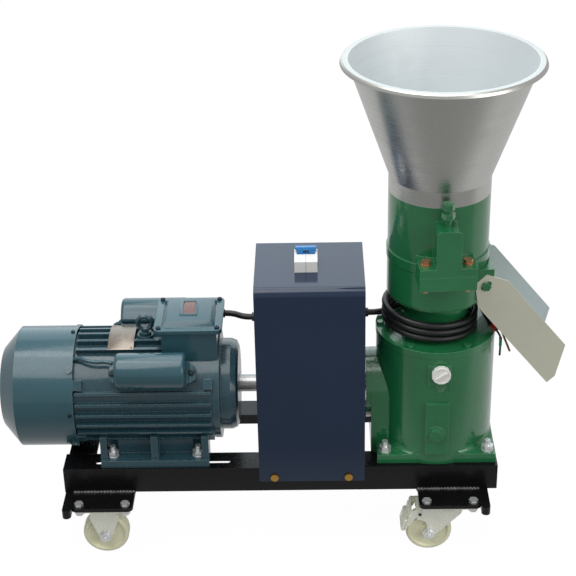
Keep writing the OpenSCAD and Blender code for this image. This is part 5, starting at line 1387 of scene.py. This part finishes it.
    def screws(self, bench: Bench) -> None:
        """The dark screws round the fan cover's rim and on the capacitor covers' end tabs."""
        axis = (0.0, 0.0, self.axis_z)
        foot = (self.rim_x, 0, self.axis_z + self.fan_r - 0.3)
        rim = []
        for k, a in enumerate(self.rim_angles):
            head = bench.screw(f"fan_cover_screw_{k}", foot, *self.rim_screw)
            bench.turn(head, 90 - a, "X", axis)
            rim.append(head)
        bench.seal(bench.join("fan_cover_screws", rim), "chassis", Look.DARK_SCREW, 30)
        places = [(x, self.tab_angle) for x in self.tab_x]
        places += [(x + self.rear_shift, 180 - self.tab_angle) for x in self.tab_x]
        top = self.axis_z + self.tab_r
        tabs = []
        for k, (x, a) in enumerate(places):
            washer = bench.drum(f"tab_washer_{k}", (x, 0, top - 0.2), Axis.Z, *self.tab_washer, 28)
            bench.soften(washer, 0.35, 2, 40)
            head = bench.screw(f"tab_screw_{k}", (x, 0, top + 1), *self.tab_screw)
            for part in (washer, head):
                bench.turn(part, 90 - a, "X", axis)
                tabs.append(part)
        bench.seal(bench.join("capacitor_tab_screws", tabs), "chassis", Look.DARK_SCREW, 30)

    def lead(self, bench: Bench) -> None:
        """The motor's lead between its two glands, held at both ends: a flat S of two equal bends."""
        (start_x, start_y), (end_x, end_y) = self.lead_start, self.lead_end
        bend, steps, mid = self.lead_bend, self.lead_steps, self.lead_mid
        radius = (start_y - end_y) / 2 / (1 - cos(bend))
        run = radius * sin(bend)
        line = [(start_x, start_y)]
        for k in range(steps + 1):
            a = k * bend / steps
            line.append((mid - run + radius * sin(a), start_y - radius * (1 - cos(a))))
        for k in range(1, steps + 1):
            a = bend - k * bend / steps
            line.append((mid + run - radius * sin(a), end_y + radius * (1 - cos(a))))
        line.append((end_x, end_y))
        points = [(x, y, self.lead_z) for x, y in line]
        bench.tube("motor_lead_sheath", points, self.lead_r, "chassis", Look.RUBBER, ("motor_lead",))


# ---- the frame's welds ----


@dataclass
class Welds:
    """Beads of weld where the caster plates and the bars meet the rails."""

    rail_y: float = 101.0
    rail_z0: float = 104.0
    radius: float = 4.6
    pitch: float = 5.2
    plates: tuple[tuple[float, float], ...] = ((-591.0, -495.0), (-28.0, 68.0))
    bars: tuple[float, float] = (-593.5, 70.5)
    bar_y: tuple[float, float] = (58.0, 100.0)
    bar_drop: float = 1.5
    bar_radius: float = 2.2

    def build(self, bench: Bench) -> None:
        """Makes the beads along the caster plates, front and back, and at the bars."""
        for side, place in ((-1, "front"), (1, "rear")):
            for k, (low, high) in enumerate(self.plates):
                points = [(x, side * self.rail_y, self.rail_z0) for x in self.steps(low, high)]
                self.bead(bench, f"{place}_plate_weld_{k}", points, side)
            for k, x in enumerate(self.bars):
                points = [(x, side * y, self.rail_z0 - self.bar_drop) for y in self.steps(*self.bar_y)]
                self.bead(bench, f"{place}_bar_weld_{k}", points, 1 - 2 * k, self.bar_radius)

    def steps(self, low: float, high: float) -> list[float]:
        """Evenly spaced places from low to high."""
        count = int((high - low) / self.pitch)
        return [low + (high - low) * k / count for k in range(count + 1)]

    def bead(self, bench: Bench, name: str, points: Sequence[Sequence[float]], side: int, radius: float = 0.0) -> None:
        """One bead: overlapping drops, each a little off the last.

        Args:
            bench: the modelling tools.
            name: the piece's name.
            points: the drops' places in millimetres.
            side: which way the bead leans.
            radius: a drop's radius, or zero for the usual one.
        """
        size = radius or self.radius
        drops = []
        for k, point in enumerate(points):
            wave = math.sin(k * 2.4) * 0.5 + math.sin(k * 5.1 + 1) * 0.5
            drops.append(bench.drop(f"{name}_{k}", point, size * (1 + 0.16 * wave), 0.7 * wave * side))
        bench.seal(bench.join(name, drops), "chassis", Look.WELD, 60)


# ---- the gearbox's pieces ----


@dataclass
class GearboxDress:
    """The moulded filler cap, the cast fairing under it, and the fillet at the barrel's foot."""

    case_r: float = 95.5
    base_z: float = 165.0
    base_half: tuple[float, float] = (96.0, 91.0)
    fillet: float = 9.0
    fillet_steps: int = 6
    oil: tuple[float, float, float] = (2.5, -98.0, 323.0)
    cap_r: float = 15.0
    cap_deep: float = 9.0
    flutes: int = 12
    flute_from: float = 12.5
    flute_depth: float = 0.045
    grip_half: tuple[float, float] = (11.0, 2.2)
    grip_turn: float = -38.0
    stem: tuple[float, float] = (5.8, 12.0)
    fairing_half: float = 14.5
    fairing_y: tuple[float, float] = (-98.6, -91.0)
    fairing_z: tuple[float, float] = (281.0, 312.0)
    fairing_foot_y: float = -94.6
    fairing_foot_share: float = 0.1
    fairing_ridge_y: float = -101.2

    def build(self, bench: Bench) -> None:
        """Makes the gearbox's pieces."""
        self.filler_cap(bench)
        self.cap_fairing(bench)
        self.foot_fillet(bench)

    def filler_cap(self, bench: Bench) -> None:
        """The white filler cap: a fluted knob with a raised grip bar."""
        x, y, z = self.oil
        deep = self.cap_deep
        knob = bench.drum("filler_cap_knob", (x, y - deep, z), Axis.Y, self.cap_r, deep, self.flutes * 4)
        bench.pick(knob, lambda place, normal: normal.y < -0.9)
        bench.inset(2.2, 0.0)
        bench.inset(1.0, -0.8)
        bench.soften(knob, 0.9, 3, 40)
        self.flute(knob, x, z)
        long, thick = self.grip_half
        bar = bench.slab("filler_cap_bar", (x - long, y - 10.4, z - thick), (x + long, y - 7, z + thick))
        bench.soften(bar, 1.0, 3, 40)
        bench.turn(bar, self.grip_turn, "Y", (x, y, z))
        stem = bench.drum("filler_cap_stem", (x, y - 0.5, z), Axis.Y, *self.stem, 24)
        bench.soften(stem, 0.5, 2, 40)
        whole = bench.join("filler_cap_knob", [knob, bar, stem])
        bench.seal(whole, "chassis", Look.CAP_WHITE, 30, ("oil_filler_cap",))

    def flute(self, knob: bpy.types.Object, x: float, z: float) -> None:
        """Draws every fourth strip of the knob's wall in, for a grip."""
        centre = spot(x, 0, z)
        for vertex in knob.data.vertices:
            out = Vector((vertex.co.x - centre.x, 0, vertex.co.z - centre.z))
            if out.length > self.flute_from * MM:
                angle = math.atan2(out.z, out.x)
                share = 1 - self.flute_depth * max(0.0, math.cos(angle * self.flutes)) ** 2
                vertex.co.x = centre.x + out.x * share
                vertex.co.z = centre.z + out.z * share

    def cap_fairing(self, bench: Bench) -> None:
        """The cast fairing that tapers down from the cap's pad into the barrel, with a ridge down its middle."""
        x = self.oil[0] + 0.5
        (near, deep), (low, high) = self.fairing_y, self.fairing_z
        foot, ridge = spot(x, self.fairing_foot_y, low), spot(x, self.fairing_ridge_y, high)
        parts = []
        for side in (-1, 1):
            left, right = sorted((x, x + side * self.fairing_half))
            half = bench.slab(f"cap_fairing_{side}", (left, near, low), (right, deep, high))
            for vertex in half.data.vertices:
                if vertex.co.z < (foot.z + ridge.z) / 2:
                    vertex.co.x = foot.x + (vertex.co.x - foot.x) * self.fairing_foot_share
                    vertex.co.y = max(vertex.co.y, foot.y)
                elif abs(vertex.co.x - ridge.x) < 0.2 * MM and vertex.co.y < foot.y:
                    vertex.co.y = ridge.y
            bench.soften(half, 0.6, 2, 20)
            parts.append(half)
        bench.seal(bench.join("cap_fairing", parts), "chassis", Look.GREEN, 40)

    def foot_fillet(self, bench: Bench) -> None:
        """The hollow fillet between the barrel and its base, cut off at the base's sides."""
        r, f, z = self.case_r, self.fillet, self.base_z
        outline = [(r - 1, z - 0.4), (r - 1, z + f)]
        for k in range(self.fillet_steps + 1):
            a = 90 * k / self.fillet_steps
            outline.append((r + f - f * cos(a), z + f - f * sin(a)))
        outline.append((r + f, z - 0.4))
        ring = bench.turned("barrel_foot_fillet", outline, (0, 0, 0), 128)
        half_x, half_y = (half - 0.5 for half in self.base_half)
        for side in (1, -1):
            bench.trim(ring, (side * half_x, 0, 0), (side, 0, 0))
        for side in (1, -1):
            bench.trim(ring, (0, side * half_y, 0), (0, side, 0))
        bench.seal(ring, "chassis", Look.GREEN, 40)


# ---- the casters' pieces ----


@dataclass
class PedalDress:
    """The ribbed treads of the two brake pedals, each on its own pedal."""

    foot: tuple[float, float] = (-50.75, 54.0)
    lean: float = 15.0
    half_w: float = 21.0
    side_y: float = 113.0
    span_z: tuple[float, float] = (-11.0, 11.0)
    thick: float = 4.2
    ribs: int = 5
    rib_r: float = 1.5

    def build(self, bench: Bench) -> None:
        """Makes both treads."""
        for side, body in ((-1, "front_pedal"), (1, "rear_pedal")):
            self.tread(bench, side, body)

    def tread(self, bench: Bench, side: int, body: str) -> None:
        """One tread: a rounded block with ribs across its outer face.

        Args:
            bench: the modelling tools.
            side: minus one in front, one at the back.
            body: the pedal that it rides on.
        """
        x, z = self.foot
        y = side * self.side_y
        low, high = self.span_z
        face, half = x - self.thick, self.half_w
        block = bench.slab(f"{body}_tread", (face, y - half, z + low), (x + 0.2, y + half, z + high))
        bench.soften(block, 1.6, 3, 40)
        parts = [block]
        for k in range(self.ribs):
            foot = (face + 0.2, y - half + 2, z + low + (high - low) * (k + 0.5) / self.ribs)
            rib = bench.drum(f"{body}_rib_{k}", foot, Axis.Y, self.rib_r, 2 * half - 4, 16)
            bench.soften(rib, 0.5, 2, 60)
            parts.append(rib)
        tread = bench.join(f"{body}_tread", parts)
        bench.turn(tread, self.lean, "Y", (x, 0, z))
        bench.seal(tread, body, Look.CASTER, 40)


@dataclass
class AxleDress:
    """The nuts, washers and bolt ends of the casters' axles, and the brake pedals' pin heads."""

    side_y: float = 113.0
    axle_z: float = 37.5
    left_x: float = -543.0
    right_x: float = -12.0
    cheek_y: float = 17.0
    washer: tuple[float, float] = (9.8, 1.5)
    nut_foot: float = 1.4
    nut: tuple[float, float] = (9.2, 6.2)
    tip_foot: float = 7.4
    tip: tuple[float, float] = (4.0, 4.0)
    pin_place: tuple[float, float] = (-27.75, 78.0)
    pin: tuple[float, float] = (2.8, 1.6)
    pedal_y: float = 22.0

    def build(self, bench: Bench) -> None:
        """Makes the fasteners of all four casters."""
        for place, side in (("front", -1), ("rear", 1)):
            y = side * self.side_y
            self.nuts(bench, f"{place}_left_axle_nuts", self.left_x, y, "chassis")
            self.nuts(bench, f"{place}_right_axle_nuts", self.right_x, y, f"{place}_fork")
            x, z = self.pin_place
            radius, height = self.pin
            heads = []
            for end in (-1, 1):
                foot = (x, y + end * (self.pedal_y - 0.2), z)
                head = bench.drum(f"{place}_pin_{end}", foot, Axis.Y, radius, end * height, 24)
                bench.soften(head, 0.5, 2, 40)
                heads.append(head)
            whole = bench.join(f"{place}_pedal_pin_heads", heads)
            bench.seal(whole, f"{place}_pedal", Look.DARK_SCREW, 30)

    def nuts(self, bench: Bench, name: str, x: float, y: float, body: str) -> None:
        """A washer, a nut and a bolt's end on both cheeks of one caster.

        Args:
            bench: the modelling tools.
            name: the piece's name.
            x: the axle's X.
            y: the wheel's middle.
            body: the body that holds the axle.
        """
        parts = []
        for end in (-1, 1):
            for part, foot, (radius, height), sides, width, segments, angle in (
                ("washer", 0.0, self.washer, 36, 0.4, 2, 40),
                ("nut", self.nut_foot, self.nut, 6, 0.9, 3, 25),
                ("tip", self.tip_foot, self.tip, 28, 0.9, 3, 40),
            ):
                place = (x, y + end * self.cheek_y + end * foot, self.axle_z)
                made = bench.drum(f"{name}_{part}", place, Axis.Y, radius, end * height, sides)
                bench.soften(made, width, segments, angle)
                parts.append(made)
        bench.seal(bench.join(name, parts), body, Look.ZINC, 30)


# ---- the breaker ----


@dataclass
class BreakerDress:
    """The seam between the breaker's poles, its clamp screws and its handle."""

    x: float = -207.25
    half_w: float = 18.0
    front_y: float = -42.0
    z: tuple[float, float] = (474.4, 494.0)
    pivot: tuple[float, float] = (-8.0, 486.0)
    drum_r: float = 7.0
    lean: float = -12.0
    seam_half: float = 0.35
    seam_end: float = -18.0
    clamp_in: float = 9.0
    clamp: tuple[float, float] = (2.6, 0.9)

    def build(self, bench: Bench) -> None:
        """Makes the breaker's small pieces."""
        front, (low, high) = self.front_y, self.z
        seam = bench.slab(
            "breaker_pole_seam",
            (self.x - self.seam_half, front - 0.12, low + 1),
            (self.x + self.seam_half, self.seam_end, high + 0.15),
        )
        bench.soften(seam, 0.1, 1, 40)
        bench.seal(seam, "chassis", Look.SEAM, 0)
        reach = self.half_w - self.clamp_in
        screws = [
            bench.screw(f"breaker_clamp_{k}", (x, front + 8, high - 0.6), *self.clamp)
            for k, x in enumerate((self.x - reach, self.x + reach))
        ]
        bench.seal(bench.join("breaker_clamp_screws", screws), "chassis", Look.ZINC, 30)
        self.handle(bench)

    def handle(self, bench: Bench) -> None:
        """The two poles' handles, joined by a bar, on their drum."""
        x, (y, z) = self.x, self.pivot
        parts = [bench.drum("handle_drum", (x - 14, y, z), Axis.X, self.drum_r, 28, 40)]
        for k, side in enumerate((-1, 1)):
            inner, outer = sorted((x + side * 4.6, x + side * 14))
            parts.append(bench.slab(f"handle_leg_{k}", (inner, y - 5, z + 3), (outer, y + 5, z + 13)))
        parts.append(bench.slab("handle_bar", (x - 16.6, y - 5.6, z + 11), (x + 16.6, y + 5.2, z + 17)))
        for part in parts:
            bench.soften(part, 0.9, 3, 50)
            bench.turn(part, self.lean, "X", (x, y, z))
        whole = bench.join("breaker_handle", parts)
        bench.seal(whole, "breaker_toggle", Look.BLUE, 30, ("breaker_toggle",))


def main() -> None:
    """Loads the frame and dresses it."""
    logging.basicConfig(level=logging.INFO, format="%(name)s: %(message)s")
    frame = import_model()
    bpy.context.scene.view_settings.view_transform = "Standard"
    wardrobe = Wardrobe()
    Studio().build()
    MainsLead().build(wardrobe)
    wardrobe.dress_nodes(frame["nodes"])
    bench = Bench(wardrobe)
    for dress in (MotorDress(), Welds(), GearboxDress(), PedalDress(), AxleDress(), BreakerDress()):
        dress.build(bench)


if __name__ == "__main__":
    main()
